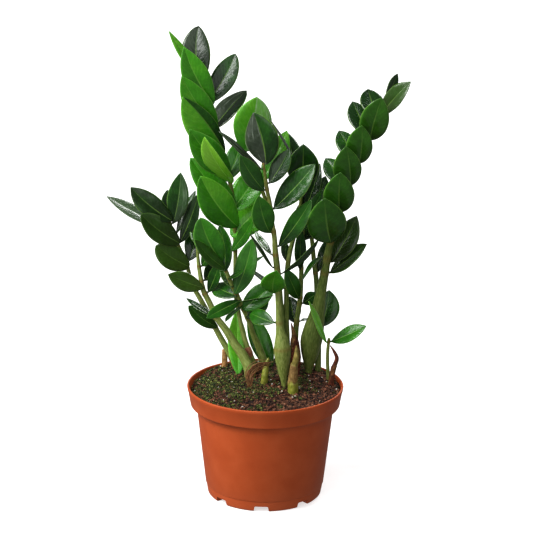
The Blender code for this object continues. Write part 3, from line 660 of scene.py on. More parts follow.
def nearest_on_path(path, point):
    """The point of a path nearest to a given point."""
    starts, spans = path[:-1], path[1:] - path[:-1]
    share = np.clip(((point - starts) * spans).sum(axis=1) / (spans**2).sum(axis=1), 0, 1)
    candidates = starts + spans * share[:, None]
    return candidates[np.linalg.norm(candidates - point, axis=1).argmin()]


def settle_on_stem(name, leaf):
    """A leaflet with its foot on its stem's front where its rank says so, and its stalk's start."""
    stem = "stem_" + name.split("_", 1)[1].rsplit("_", 1)[0]
    if stem not in stems:
        return leaf, leaf[0] - np.array((0, 0, CUTTING_DEPTH))
    path, radii = stems[stem]
    start = nearest_on_path(path, leaf[0])
    if name in IN_FRONT:
        thick = radii[np.linalg.norm(path - start, axis=1).argmin()]
        leaf = (start + (IN_FRONT[name], -thick - SKIN_GAP, 0), *leaf[1:])
    return leaf, start + (leaf[0] - start) * STALK_STARTS


def looks_of(name, number, across, side):
    """One leaflet's tone, with painted light and shade on the right half where it has its own, its painted
    sheen and olive, and whether each point is on its underside.
    """
    level, painted_sheen_left, painted_sheen_right, *right_half_painted_tone = TONES[name][number]
    # The right half's own tone, where there is one, is painted light and shade on that half
    tones = np.where(across < 0, level, right_half_painted_tone[0] if right_half_painted_tone else level)
    # The painted sheen of each half: grey that stands for light caught by the waxy skin
    painted_sheens = np.where(across < 0, painted_sheen_left, painted_sheen_right)
    olives = np.full(len(across), OLIVE[name][number] if name in OLIVE else 0.0)
    return tones, painted_sheens, (side < 0) * 1.0, olives


def lay_uv(piece, across, along):
    """A UV map that holds how far across and along its leaflet each corner of a face lies."""
    layer = piece.data.uv_layers.new(name="leaf")
    corners = np.zeros(len(piece.data.loops), np.int32)
    piece.data.loops.foreach_get("vertex_index", corners)
    layer.data.foreach_set("uv", np.stack([(across[corners] + 1) / 2, along[corners]], axis=1).ravel())


rng = np.random.default_rng(7)
leaf_points = 0
for name in RANKS:
    blades, columns = [], []
    for number, leaf in enumerate(leaflets[name]):
        leaf, stalk_start = settle_on_stem(name, leaf)
        if (name, number) in FACING:
            leaf = (*leaf[:3], np.array(FACING[name, number]), leaf[4])
        placed, across, along, side = shape_leaflet(leaf, stalk_start, form_of(name, number), rng)
        blades.append(placed)
        columns.append((across, along, *looks_of(name, number, across, side)))
    piece = mesh_from(name.replace("leaves", "leaflets") + "_fine", np.vstack(blades),
                      repeated(leaflet_pattern, len(blades)), leaf_material)
    across, along, *looks = (np.concatenate(column) for column in zip(*columns))
    # Tone (with painted light and shade on some right halves), painted sheen, underside and olive
    for attribute, values in zip(("tone", "painted_sheen", "under", "olive"), looks):
        store(piece, attribute, values)
    lay_uv(piece, across, along)
    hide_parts(name)
    leaf_points += len(piece.data.vertices)
print("leaflet pieces:", len(RANKS), "points:", leaf_points)

# %% [markdown]
# A ZZ stem is a fleshy stalk, thick as a finger where it leaves the soil and thin as a wire where
# the last leaflets sit. It swells a little wherever a leaflet joins it. One straight tube is
# modelled as a pattern, by extruding a filled circle upwards many times. Each stem is a copy whose
# rings are moved along the smooth path through that stem's solid and given its thickness there.

# %% The tube pattern
TUBE_RINGS = 72
TUBE_SIDES = 18


def start_editing(piece):
    """Edit mode on one piece, with all of it selected."""
    deselect_all()
    piece.select_set(True)
    bpy.context.view_layer.objects.active = piece
    bpy.ops.object.mode_set(mode="EDIT")
    bpy.ops.mesh.select_all(action="SELECT")


deselect_all()
bpy.ops.mesh.primitive_circle_add(vertices=TUBE_SIDES, radius=1, fill_type="NGON")
tube = bpy.context.object
start_editing(tube)
for ring in range(TUBE_RINGS):
    bpy.ops.mesh.extrude_region_move(TRANSFORM_OT_translate={"value": (0, 0, 1 / TUBE_RINGS)})
bpy.ops.mesh.select_all(action="SELECT")
bpy.ops.mesh.normals_make_consistent(inside=False)
bpy.ops.object.mode_set(mode="OBJECT")
tube_points, tube_faces = take_pattern(tube)
print("tube pattern:", len(tube_points), "points")

# %% [markdown]
# A solid's rings give a dozen or so points along a stem. A smooth curve is drawn through them, as a
# bent wire would run, and the tube's rings are set across it at even steps. Each point also keeps
# where it lies on the tube's skin, in metres, so that flecks can be drawn out along the stem.

# %% Bend a tube along a path
def smooth_path(points, values, count):
    """Evenly spaced points on the smooth curve through some points, with the values between them."""
    points = np.asarray(points, float)
    spans = np.linalg.norm(np.diff(points, axis=0), axis=1)
    places = np.concatenate([[0], np.cumsum(spans)])
    slopes = np.gradient(points, places, axis=0)
    wanted = np.linspace(0, places[-1], count)
    index = np.clip(np.searchsorted(places, wanted, side="right") - 1, 0, len(spans) - 1)
    span = spans[index][:, None]
    t = (wanted - places[index])[:, None] / span
    smooth = points[index] * (1 + 2 * t) * (1 - t) ** 2 + slopes[index] * span * t * (1 - t) ** 2
    smooth += points[index + 1] * t**2 * (3 - 2 * t) + slopes[index + 1] * span * t**2 * (t - 1)
    return smooth, np.interp(wanted, places, values), wanted


def tube_along(points, radii, shape=None):
    """The tube pattern's points along a path, and where each lies on the tube's skin.

    shape(length, angle) says by how much to multiply the radius there.
    """
    centres, thickness, lengths = smooth_path(points, radii, TUBE_RINGS + 1)
    headings = np.gradient(centres, axis=0)
    headings /= np.linalg.norm(headings, axis=1)[:, None]
    first = np.cross(headings, (0.0, 1.0, 0.0))
    first /= np.linalg.norm(first, axis=1)[:, None]
    second = np.cross(headings, first)
    ring = np.round(tube_points[:, 2] * TUBE_RINGS).astype(int)
    angle = np.arctan2(tube_points[:, 1], tube_points[:, 0])
    radius = thickness[ring] * (1 if shape is None else shape(lengths[ring], angle))
    out_first, out_second = radius * np.cos(angle), radius * np.sin(angle)
    placed = centres[ring] + first[ring] * out_first[:, None] - second[ring] * out_second[:, None]
    return placed, np.stack([out_first, out_second, lengths[ring]], axis=1)


def point_outwards(piece):
    """Turns a closed piece's faces to point outwards."""
    start_editing(piece)
    bpy.ops.mesh.normals_make_consistent(inside=False)
    bpy.ops.object.mode_set(mode="OBJECT")


print("the centre stem is", round(float(smooth_path(*stems["stem_centre"], 100)[2][-1]), 3), "m long")

# %% [markdown]
# The stem's skin is matt and fleshy, pale olive with long darker flecks, and it browns into corky
# scars at its joints. The flecks follow the stem's length, so this material reads a vector that is
# stored on the mesh: round the stem in x and y, and along it in z. Squeezing z stretches a pattern
# lengthwise, however the stem leans.

# %% Stem material: fleshy olive stem
# Matt and mottled, like the skin of a succulent, with brown cork where something was joined to it
stem_material, tree, shader = new_material("fleshy_olive_stem")
skin = add_node(tree, "ShaderNodeAttribute", attribute_name="skin").outputs["Vector"]
fresh = add_node(tree, "ShaderNodeAttribute", attribute_name="fresh").outputs["Fac"]
scar = add_node(tree, "ShaderNodeAttribute", attribute_name="scar").outputs["Fac"]
stretched = add_node(tree, "ShaderNodeMapping", {"Vector": skin, "Scale": (1, 1, 0.22)}).outputs[0]
# Long flecks of about 1.5 mm by 7 mm, and short dark ones under 1 mm wide
flecks = add_node(
    tree, "ShaderNodeTexNoise",
    {"Vector": stretched, "Scale": 1 / (1.5 * MM), "Detail": 5, "Roughness": 0.65})
spots = add_node(tree, "ShaderNodeTexVoronoi", {"Vector": stretched, "Scale": 1 / (1.5 * MM)})
spots = add_node(tree, "ShaderNodeMapRange", {0: spots.outputs[0], 1: 0.18, 2: 0.36, 3: 0.55, 4: 0.0})
pale = add_node(tree, "ShaderNodeValToRGB", {"Fac": flecks.outputs[0]}, stops=[
    (0.30, "#6a7836"), (0.46, "#808e48"), (0.60, "#939f5b"), (0.76, "#adb578")])
deep = add_node(tree, "ShaderNodeValToRGB", {"Fac": flecks.outputs[0]}, stops=[
    (0.30, "#384c1d"), (0.46, "#4a6024"), (0.60, "#5c6f30"), (0.76, "#738045")])
flesh = add_node(
    tree, "ShaderNodeMix", {0: fresh, 6: deep.outputs[0], 7: pale.outputs[0]}, data_type="RGBA")
flesh = add_node(
    tree, "ShaderNodeMix", {0: spots.outputs[0], 6: flesh.outputs[2], 7: deep.outputs[0]}, data_type="RGBA")
corky = add_node(tree, "ShaderNodeMath", {0: flecks.outputs[0], 1: 1.6}, operation="MULTIPLY")
corky = add_node(
    tree, "ShaderNodeMath", {0: corky.outputs[0], 1: scar}, operation="MULTIPLY", use_clamp=True)
flesh = add_node(
    tree, "ShaderNodeMix", {0: corky.outputs[0], 6: flesh.outputs[2], 7: hex_colour("#7c4f24")},
    data_type="RGBA")
tree.links.new(flesh.outputs[2], shader.inputs["Base Color"])
matt = add_node(tree, "ShaderNodeMapRange", {0: flecks.outputs[0], 1: 0.3, 2: 0.7, 3: 0.38, 4: 0.52})
tree.links.new(matt.outputs[0], shader.inputs["Roughness"])
shader.inputs["IOR"].default_value = 1.42
shader.inputs["Specular IOR Level"].default_value = 0.35
pits = add_node(
    tree, "ShaderNodeMath", {0: spots.outputs[0], 1: -0.8, 2: flecks.outputs[0]}, operation="MULTIPLY_ADD")
bump = add_node(tree, "ShaderNodeBump", {"Height": pits.outputs[0], "Distance": 0.16 * MM, "Strength": 0.6})
tree.links.new(bump.outputs[0], shader.inputs["Normal"])
print("stem material:", len(tree.nodes), "nodes")

# %% [markdown]
# Each stem swells a little where a leaflet joins it, and where an old leaf has left a dark ring. The
# two thickest also swell above the soil and are slim where they enter it, more than their solids
# show. Those three rules only multiply the tube's radius, ring by ring.

# %% Grow the stems
FRESHNESS = {
    "stem_right_tall": 0.45, "stem_right_back": 0.45, "stem_right_short": 0.75, "stem_right_inner": 0.6,
    "stem_centre_back": 0.5, "stem_middle_back": 0.6,
}
DARK_RINGS = {"stem_centre": (0.051,)}  # metres from the stem's lower end
# How much fuller or slimmer than its solid a stem is: millimetres from its lower end, and a share
FULLNESS = {
    "stem_centre": ((0, 0.6), (14, 0.68), (22, 0.84), (32, 1.06), (42, 1.2), (50, 1.23), (58, 1.12),
                    (66, 0.92), (74, 0.82), (90, 0.86), (130, 1.0)),
    "stem_right_tall": ((0, 0.75), (14, 0.82), (24, 1.0), (36, 1.17), (48, 1.24), (60, 1.2), (82, 1.04),
                        (106, 0.9), (134, 0.92), (180, 1.0)),
}
NOWHERE = -1.0  # below every stem's lower end


def nearness(lengths, places, spread):
    """How near each length is to the nearest of some places: 1 there, and 0 a little way off."""
    return np.exp(-(((lengths[:, None] - places[None]) / spread) ** 2)).max(axis=1)


def leaf_joints(name):
    """How far up a stem each of its leaflets joins it."""
    family = name.replace("stem_", "leaves_") + "_"
    feet = [leaf[0] for rank in RANKS if rank.startswith(family) for leaf in leaflets[rank]]
    path, _, lengths = smooth_path(*stems[name], 400)
    return np.array([lengths[np.linalg.norm(path - foot, axis=1).argmin()] for foot in feet] or [NOWHERE])


for name in STEMS:
    joints = leaf_joints(name)
    rings = np.array(DARK_RINGS.get(name, (NOWHERE,)))
    full_at, full = np.array(FULLNESS.get(name, ((0, 1.0),))).T

    def swelling(length, angle):
        near, old = nearness(length, joints, 1.6 * MM), nearness(length, rings, 0.9 * MM)
        ribs = 0.02 * np.cos(3 * angle + length * 40) + 0.012 * np.cos(5 * angle - length * 70)
        return (1 + 0.16 * near + 0.05 * old + ribs) * np.interp(length, full_at * MM, full)

    placed, skin_place = tube_along(*stems[name], swelling)
    piece = mesh_from(name + "_fine", placed, tube_faces, stem_material)
    point_outwards(piece)
    along = skin_place[:, 2]
    near, old = nearness(along, joints, 1.3 * MM), nearness(along, rings, 1.0 * MM)
    base = np.clip(1 - along / 0.014, 0, 1)
    tan = 0.4 * np.clip((along - 0.12) / 0.2, 0, 1)
    fresh = np.full(len(placed), FRESHNESS.get(name, 1.0)) - 0.35 * np.clip(along / 0.25, 0, 1)
    store_vectors(piece, "skin", skin_place)
    store(piece, "fresh", fresh)
    store(piece, "scar", np.maximum.reduce([0.75 * near, 0.6 * old, 0.7 * base, tan]))
    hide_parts(name)
print("stems:", len(STEMS))

# %% [markdown]
# The pot is thin moulded plastic, turned about one axis: a broad collar that narrows downwards, a
# shoulder that turns in under it, a tapering body and a fine step round the foot. It is made as a
# filled circle that starts as the inside floor and is extruded up the inside, over the rim and
# down the outside. Eight drain channels are then cut into the foot with Boolean blocks.

# %% Sizes of the pot, and turning
low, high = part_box("pot")
POT_HEIGHT = high[2]
RIM_RADIUS = (high[0] - low[0]) / 2
COLLAR_HEIGHT, COLLAR_TAPER = 19.6 * MM, 3.4 * MM
SHOULDER_HEIGHT, SHOULDER_DEPTH = 11 * MM, 7.2 * MM
BASE_RADIUS, STEP_HEIGHT, STEP_DEPTH = 59.6 * MM, 11.6 * MM, 0.6 * MM
POT_WALL, FLOOR_LEVEL = 1.6 * MM, 7.6 * MM
LIP_RADIUS, BEAD_HEIGHT = 1.1 * MM, 4.0 * MM  # the rim's rounding, and the thicker band under it
POT_SIDES = 144
COLLAR_FOOT = POT_HEIGHT - COLLAR_HEIGHT
SHOULDER_FOOT = COLLAR_FOOT - SHOULDER_HEIGHT
BODY_TOP = RIM_RADIUS - COLLAR_TAPER - SHOULDER_DEPTH


def turned_piece(name, profile, sides):
    """A closed piece of revolution from (radius, height) points, made by extruding a filled circle."""
    first_radius, first_height = profile[0]
    deselect_all()
    bpy.ops.mesh.primitive_circle_add(
        vertices=sides, radius=first_radius, fill_type="NGON", location=(0, 0, first_height))
    piece = bpy.context.object
    piece.name = name
    bpy.ops.object.transform_apply(location=True)
    start_editing(piece)
    height, radius = first_height, first_radius
    for next_radius, next_height in profile[1:]:
        bpy.ops.mesh.extrude_region_move(TRANSFORM_OT_translate={"value": (0, 0, next_height - height)})
        share = next_radius / radius
        bpy.ops.transform.resize(value=(share, share, 1), center_override=(0, 0, next_height))
        height, radius = next_height, next_radius
    bpy.ops.mesh.select_all(action="SELECT")
    bpy.ops.mesh.normals_make_consistent(inside=False)
    bpy.ops.object.mode_set(mode="OBJECT")
    return piece


print("pot:", round(2 * RIM_RADIUS, 3), "m across and", round(POT_HEIGHT, 3), "m high")


# %% Turn the pot
def rounded(centre, radius, start, end, steps):
    """Points on an arc, from one angle in degrees to another."""
    angles = np.radians(np.linspace(start, end, steps))
    return [(centre[0] + radius * math.cos(a), centre[1] + radius * math.sin(a)) for a in angles]


def shoulder(inset):
    """The shoulder from the collar's foot to the body's top, set inwards."""
    turns = np.linspace(0, math.pi / 2, 9)
    return [(RIM_RADIUS - COLLAR_TAPER - SHOULDER_DEPTH * math.sin(turn) ** 0.9 - inset,
             COLLAR_FOOT - SHOULDER_HEIGHT * (1 - math.cos(turn)) ** 1.15) for turn in turns]


slope = (BODY_TOP - BASE_RADIUS) / SHOULDER_FOOT
inside = [(BASE_RADIUS - POT_WALL + slope * FLOOR_LEVEL - 1.5 * MM, FLOOR_LEVEL),
          (BASE_RADIUS - POT_WALL + slope * FLOOR_LEVEL, FLOOR_LEVEL + 1.5 * MM)]
inside += reversed(shoulder(POT_WALL))
lip = rounded((RIM_RADIUS - LIP_RADIUS, POT_HEIGHT - LIP_RADIUS), LIP_RADIUS, 180, 0, 9)
outside = [(RIM_RADIUS - 0.5 * MM, POT_HEIGHT - BEAD_HEIGHT),
           (RIM_RADIUS - 0.9 * MM, POT_HEIGHT - BEAD_HEIGHT - 0.8 * MM)]
collar_edge = (RIM_RADIUS - COLLAR_TAPER - 0.7 * MM, COLLAR_FOOT + 0.7 * MM)
outside += rounded(collar_edge, 0.7 * MM, 0, -90, 5)
outside += shoulder(0)[1:]
step_radius = BASE_RADIUS + slope * STEP_HEIGHT
outside += [(step_radius + 0.15 * MM, STEP_HEIGHT + 0.4 * MM), (step_radius, STEP_HEIGHT),
            (
                step_radius - STEP_DEPTH, STEP_HEIGHT - 0.5 * MM), (step_radius - STEP_DEPTH,
                STEP_HEIGHT - 1.0 * MM)]
outside += rounded((BASE_RADIUS - STEP_DEPTH - 2 * MM, 2 * MM), 2 * MM, 0, -90, 6)
pot = turned_piece("nursery_pot_fine", inside + lip + outside, POT_SIDES)
print("pot:", len(pot.data.polygons), "faces", [round(side, 4) for side in pot.dimensions])

# %% [markdown]
# A nursery pot drains sideways: channels run in under its foot, and a hole in the roof of each lets
# the water out of the pot. Each channel is a block, wider at its bottom than at its top, with
# rounded edges. A Boolean takes the block and then a cylinder away from the pot, which keeps the
# pot one closed shape.

# %% Cut the drain channels and holes
CHANNEL_COUNT, CHANNEL_TURN = 8, -3
CHANNEL_HEIGHT, CHANNEL_LENGTH = 5.8 * MM, 18 * MM
CHANNEL_TOP, CHANNEL_BOTTOM = 13.6 * MM, 16.6 * MM
DRAIN_RADIUS, DRAIN_INSET = 3.5 * MM, 11 * MM
OVERSHOOT = 4 * MM  # how far a cutter reaches past what it cuts


def cut_away(piece, cutter):
    """Removes a cutter's shape from a piece."""
    boolean = piece.modifiers.new("cut", "BOOLEAN")
    boolean.operation = "DIFFERENCE"
    boolean.solver = "EXACT"
    boolean.object = cutter
    apply_modifiers(piece)
    bpy.data.objects.remove(cutter)


for number in range(CHANNEL_COUNT):
    angle = math.radians(CHANNEL_TURN - 90 + number * 360 / CHANNEL_COUNT)
    deselect_all()
    bpy.ops.mesh.primitive_cube_add(size=1)
    block = bpy.context.object
    start_editing(block)
    length, height = CHANNEL_LENGTH + OVERSHOOT, CHANNEL_HEIGHT + OVERSHOOT
    bpy.ops.transform.resize(value=(length, CHANNEL_BOTTOM, height))
    bpy.ops.transform.translate(
        value=(BASE_RADIUS + OVERSHOOT - length / 2, 0, CHANNEL_HEIGHT / 2 - OVERSHOOT / 2))
    bpy.ops.mesh.select_all(action="DESELECT")
    bpy.ops.object.mode_set(mode="OBJECT")
    for corner in block.data.vertices:
        corner.select = corner.co.z > 0
    bpy.ops.object.mode_set(mode="EDIT")
    bpy.ops.transform.resize(value=(1, CHANNEL_TOP / CHANNEL_BOTTOM, 1), center_override=(0, 0, 0))
    bpy.ops.object.mode_set(mode="OBJECT")
    round_off = block.modifiers.new("round the channel", "BEVEL")
    round_off.width = 1.2 * MM
    round_off.segments = 3
    apply_modifiers(block)
    block.rotation_euler.z = angle
    cut_away(pot, block)
    deselect_all()
    from_axis = BASE_RADIUS - DRAIN_INSET
    bpy.ops.mesh.primitive_cylinder_add(
        vertices=24, radius=DRAIN_RADIUS, depth=12 * MM,
        location=(math.cos(angle) * from_axis, math.sin(angle) * from_axis, 7 * MM))
    cut_away(pot, bpy.context.object)
deselect_all()
pot.select_set(True)
bpy.context.view_layer.objects.active = pot
bpy.ops.object.shade_smooth_by_angle(angle=math.radians(35))
print("pot with channels:", len(pot.data.polygons), "faces")

# %% [markdown]
# The pot is polypropylene coloured like terracotta, moulded in one shot. The plastic has a satin
# skin that is slightly cloudy, with fine upright scuffs from stacking and a little dust towards
# the foot. The scuffs need only noise that is stretched upwards, since the wall is nearly upright
# all round.

# %% Pot material: moulded terracotta plastic
# An even warm orange-brown with a soft sheen, a little paler where it is rubbed
pot_material, tree, shader = new_material("moulded_terracotta_plastic")
position = add_node(tree, "ShaderNodeTexCoord").outputs["Object"]
cloudy = add_node(tree, "ShaderNodeTexNoise", {"Vector": position, "Scale": 1 / (24 * MM), "Detail": 3})
upright = add_node(tree, "ShaderNodeMapping", {"Vector": position, "Scale": (1, 1, 0.05)}).outputs[0]
scuffs = add_node(
    tree, "ShaderNodeTexNoise", {"Vector": upright, "Scale": 1 / (1.1 * MM), "Detail": 4, "Roughness": 0.7})
grain = add_node(tree, "ShaderNodeTexNoise", {"Vector": position, "Scale": 1 / (0.6 * MM), "Detail": 2})
height = add_node(tree, "ShaderNodeSeparateXYZ", {0: position}).outputs[2]
plastic = add_node(tree, "ShaderNodeValToRGB", {"Fac": cloudy.outputs[0]}, stops=[
    (0.25, "#b25229"), (0.5, "#b9582e"), (0.75, "#c05f35")])
rubbed = add_node(tree, "ShaderNodeMapRange", {0: scuffs.outputs[0], 1: 0.60, 2: 0.78, 3: 0.0, 4: 0.22})
plastic = add_node(
    tree, "ShaderNodeMix", {0: rubbed.outputs[0], 6: plastic.outputs[0], 7: hex_colour("#c9724a")},
    data_type="RGBA")
foot_dust = add_node(tree, "ShaderNodeMapRange", {0: height, 1: 2 * MM, 2: 26 * MM, 3: 0.34, 4: 0.0})
foot_dust = add_node(
    tree, "ShaderNodeMath", {0: foot_dust.outputs[0], 1: cloudy.outputs[0]}, operation="MULTIPLY")
plastic = add_node(
    tree, "ShaderNodeMix", {0: foot_dust.outputs[0], 6: plastic.outputs[2], 7: hex_colour("#a8654a")},
    data_type="RGBA")
specks = add_node(tree, "ShaderNodeTexVoronoi", {"Vector": position, "Scale": 1 / (5 * MM)})
specks = add_node(tree, "ShaderNodeMapRange", {0: specks.outputs[0], 1: 0.05, 2: 0.08, 3: 0.35, 4: 0.0})
plastic = add_node(
    tree, "ShaderNodeMix", {0: specks.outputs[0], 6: plastic.outputs[2], 7: hex_colour("#7a3018")},
    data_type="RGBA")
tree.links.new(plastic.outputs[2], shader.inputs["Base Color"])
satin = add_node(tree, "ShaderNodeMapRange", {0: scuffs.outputs[0], 1: 0.3, 2: 0.7, 3: 0.40, 4: 0.52})
tree.links.new(satin.outputs[0], shader.inputs["Roughness"])
shader.inputs["IOR"].default_value = 1.49
shader.inputs["Specular IOR Level"].default_value = 0.2
relief = add_node(
    tree, "ShaderNodeMath", {0: scuffs.outputs[0], 1: 0.5, 2: grain.outputs[0]}, operation="MULTIPLY_ADD")
bump = add_node(
    tree, "ShaderNodeBump", {"Height": relief.outputs[0], "Distance": 0.06 * MM, "Strength": 0.35})
tree.links.new(bump.outputs[0], shader.inputs["Normal"])
pot.data.materials.clear()
pot.data.materials.append(pot_material)
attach(pot, "root")
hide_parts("pot")
print("pot material:", len(tree.nodes), "nodes")

# %% [markdown]
# The ground is peaty potting soil, heaped a little in the middle and at the back, and lower at the
# left. Its body is turned like the pot, from its top's middle out to the wall and down, and its top
# is then roughened by moving its points with cloud noise, first in low lumps and then in fine ones.

# %% Heap the soil
SOIL_LOW, SOIL_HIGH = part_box("soil")
SOIL_EDGE_RADIUS = (SOIL_HIGH[0] - SOIL_LOW[0]) / 2
SOIL_EDGE = SOIL_HIGH[2] - 8 * MM
SOIL_HEAP = 6 * MM  # how far the middle stands above the edge
TILT_RIGHT, TILT_BACK, TILT_FRONT = 1.6, 6.5, -3.2  # millimetres up at the edge on each side
SOIL_RINGS, SOIL_SIDES = 44, 150


def ground_level(x, y):
    """The height of the bare ground above a place in the pot."""
    share = min(math.hypot(x, y) / SOIL_EDGE_RADIUS, 1)
    tilt = (TILT_RIGHT * x + (TILT_BACK if y > 0 else TILT_FRONT) * y) / SOIL_EDGE_RADIUS * MM
    lumps = 1.5 * noise.fractal(Vector((x, y, 0)) / (16 * MM), 1.0, 2.1, 4) * MM
    return SOIL_EDGE + SOIL_HEAP * (1 - share**2) + tilt + lumps


top_rings = [(SOIL_EDGE_RADIUS * (ring + 0.2) / SOIL_RINGS, SOIL_EDGE) for ring in range(SOIL_RINGS)]
top_rings += [(SOIL_EDGE_RADIUS, SOIL_EDGE)]
side_rings = [(radius - 0.3 * MM, height) for radius, height in shoulder(POT_WALL)]
bottom_rings = [(BASE_RADIUS - POT_WALL - 0.6 * MM, FLOOR_LEVEL + 2 * MM)]
soil = turned_piece("potting_soil_fine", top_rings + side_rings + bottom_rings, SOIL_SIDES)
for corner in soil.data.vertices:
    if corner.co.z > SOIL_EDGE - 0.5 * MM:
        edge = min(math.hypot(corner.co.x, corner.co.y) / SOIL_EDGE_RADIUS, 1)
        corner.co.z = ground_level(corner.co.x, corner.co.y)
        fine = 1.3 * noise.fractal(Vector(corner.co) / (3.6 * MM), 1.0, 2.0, 4) * MM
        corner.co.z += fine * (1 - edge**8)
soil.data.polygons.foreach_set("use_smooth", [True] * len(soil.data.polygons))
print("soil:", len(soil.data.polygons), "faces")

# %% [markdown]
# Potting soil is a mix: damp dark peat, chips of composted bark, white grains of expanded perlite,
# and moss that has grown over it. All four are dull and crumbly, so one function makes them. Noise
# of the grain's own size mixes the colours, and the same noise gives the bump.

# %% Soil materials: damp peat, reddish bark, white perlite and moss
def earthy_material(name, colours, grain_size, roughness, bump_height):
    """A crumbly dull material: a ramp of colours over noise of one grain size."""
    material, tree, shader = new_material(name)
    position = add_node(tree, "ShaderNodeTexCoord").outputs["Object"]
    coarse = add_node(
        tree, "ShaderNodeTexNoise", {"Vector": position, "Scale": 1 / (grain_size * 3), "Detail": 3})
    fine = add_node(
        tree, "ShaderNodeTexNoise",
        {"Vector": position, "Scale": 1 / grain_size, "Detail": 5, "Roughness": 0.7})
    mixed = add_node(tree, "ShaderNodeMath", {0: coarse.outputs[0], 1: fine.outputs[0]}, operation="ADD")
    mixed = add_node(tree, "ShaderNodeMath", {0: mixed.outputs[0], 1: 0.5}, operation="MULTIPLY")
    ramp = add_node(tree, "ShaderNodeValToRGB", {"Fac": mixed.outputs[0]}, stops=colours)
    tree.links.new(ramp.outputs[0], shader.inputs["Base Color"])
    rough = add_node(
        tree, "ShaderNodeMapRange",
        {0: fine.outputs[0], 1: 0.3, 2: 0.7, 3: roughness, 4: min(roughness + 0.15, 1)})
    tree.links.new(rough.outputs[0], shader.inputs["Roughness"])
    shader.inputs["IOR"].default_value = 1.4
    bump = add_node(
        tree, "ShaderNodeBump", {"Height": fine.outputs[0], "Distance": bump_height, "Strength": 0.8})
    tree.links.new(bump.outputs[0], shader.inputs["Normal"])
    return material


# Damp peat: mottled from nearly black to pale brown
peat_material = earthy_material("damp_peat", [
    (0.40, "#0d0704"), (0.47, "#2a1810"), (0.53, "#573524"), (0.61, "#946a50")], 1.5 * MM, 0.82, 0.5 * MM)
# Composted bark: redder and a little smoother than the peat
bark_material = earthy_material("reddish_bark", [
    (0.36, "#29130b"), (0.46, "#502a1b"), (0.54, "#7a4a34"), (0.64, "#ab7f64")], 1.6 * MM, 0.7, 0.4 * MM)
# Perlite, a white volcanic glass puffed up by heat: bright chalky specks
perlite_material = earthy_material("white_perlite", [
    (0.35, "#b8b4a6"), (0.5, "#dedbd0"), (0.65, "#f4f2ea")], 0.8 * MM, 0.7, 0.3 * MM)
# Moss: dark underneath, yellow-green at its tips
moss_material = earthy_material("green_moss", [
    (0.41, "#10160a"), (0.49, "#2c3711"), (0.55, "#586225"), (0.63, "#a5a860")], 0.8 * MM, 0.75, 0.3 * MM)
soil.data.materials.clear()
soil.data.materials.append(peat_material)
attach(soil, "root")
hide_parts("soil")
EARTHY = (peat_material, bark_material, perlite_material, moss_material)
print("earthy materials:", [material.name for material in EARTHY])

# %% [markdown]
# Crumbs, bark, perlite and moss lie on the ground as thousands of small shapes. A real grain of this
# size is an uneven lump, so each is a twenty-faced ball whose corners are moved at random. Moss is
# low cushions with thin upright sprigs, four-sided spikes, between them. Copies with so few faces
# cost little, and a seed keeps them the same each time.

# %% Shapes to scatter
deselect_all()
bpy.ops.mesh.primitive_ico_sphere_add(subdivisions=1, radius=1)
ball = take_pattern(bpy.context.object)
deselect_all()
bpy.ops.mesh.primitive_cone_add(vertices=4, radius1=1, radius2=0, depth=1, location=(0, 0, 0.5))
bpy.ops.object.transform_apply(location=True)
sprig = take_pattern(bpy.context.object)
print("faces of a ball and a sprig:", len(ball[1]), len(sprig[1]))


# %% Scatter crumbs, bark, perlite and moss
def random_turn(rng, lean):
    """A turn about the upright, tipped over by up to lean degrees."""
    spin, tip, way = rng.uniform(0, 2 * math.pi), math.radians(
        rng.uniform(0, lean)), rng.uniform(0, 2 * math.pi)
    c, s = math.cos(spin), math.sin(spin)
    about = np.array([[c, -s, 0], [s, c, 0], [0, 0, 1]])
    axis = np.array([math.cos(way), math.sin(way), 0])
    cross = np.array([[0, 0, axis[1]], [0, 0, -axis[0]], [-axis[1], axis[0], 0]])
    tipped = np.eye(3) + math.sin(tip) * cross + (1 - math.cos(tip)) * cross @ cross
    return tipped @ about


def scatter(name, count, sizes, flatness, sink, lean, accept, material, shape, rng):
    """Copies of a small shape over the ground, where accept(x, y) allows them."""
    shape_points = shape[0]
    lumps = []
    tries = 0
    while len(lumps) < count and tries < count * 60:
        tries += 1
        radius = SOIL_EDGE_RADIUS * math.sqrt(rng.uniform(0, 0.985))
        way = rng.uniform(0, 2 * math.pi)
        x, y = radius * math.cos(way), radius * math.sin(way)
        size = rng.uniform(*sizes) * MM
        if radius + size > SOIL_EDGE_RADIUS - 0.2 * MM or rng.uniform() > accept(x, y):
            continue
        lump = shape_points * (1 + rng.uniform(-0.28, 0.28, (len(shape_points), 1)))
        lump = lump * np.array([size, size * rng.uniform(0.6, 1), size * flatness])
        lump = lump @ random_turn(rng, lean).T + (x, y, ground_level(x, y) + size * sink)
        lumps.append(lump)
    return mesh_from(name, np.vstack(lumps), repeated(shape, len(lumps)), material)


def mossy(x, y):
    """How likely moss is at a place: thick at the left and in the middle, thin at the front right."""
    patch = noise.fractal(Vector((x, y, 40 * MM)) / (15 * MM), 1.0, 2.0, 3)
    spread = 0.42 - 0.65 * x / SOIL_EDGE_RADIUS + 0.45 * y / SOIL_EDGE_RADIUS
    return min(max(spread + 1.2 * patch, 0), 1)


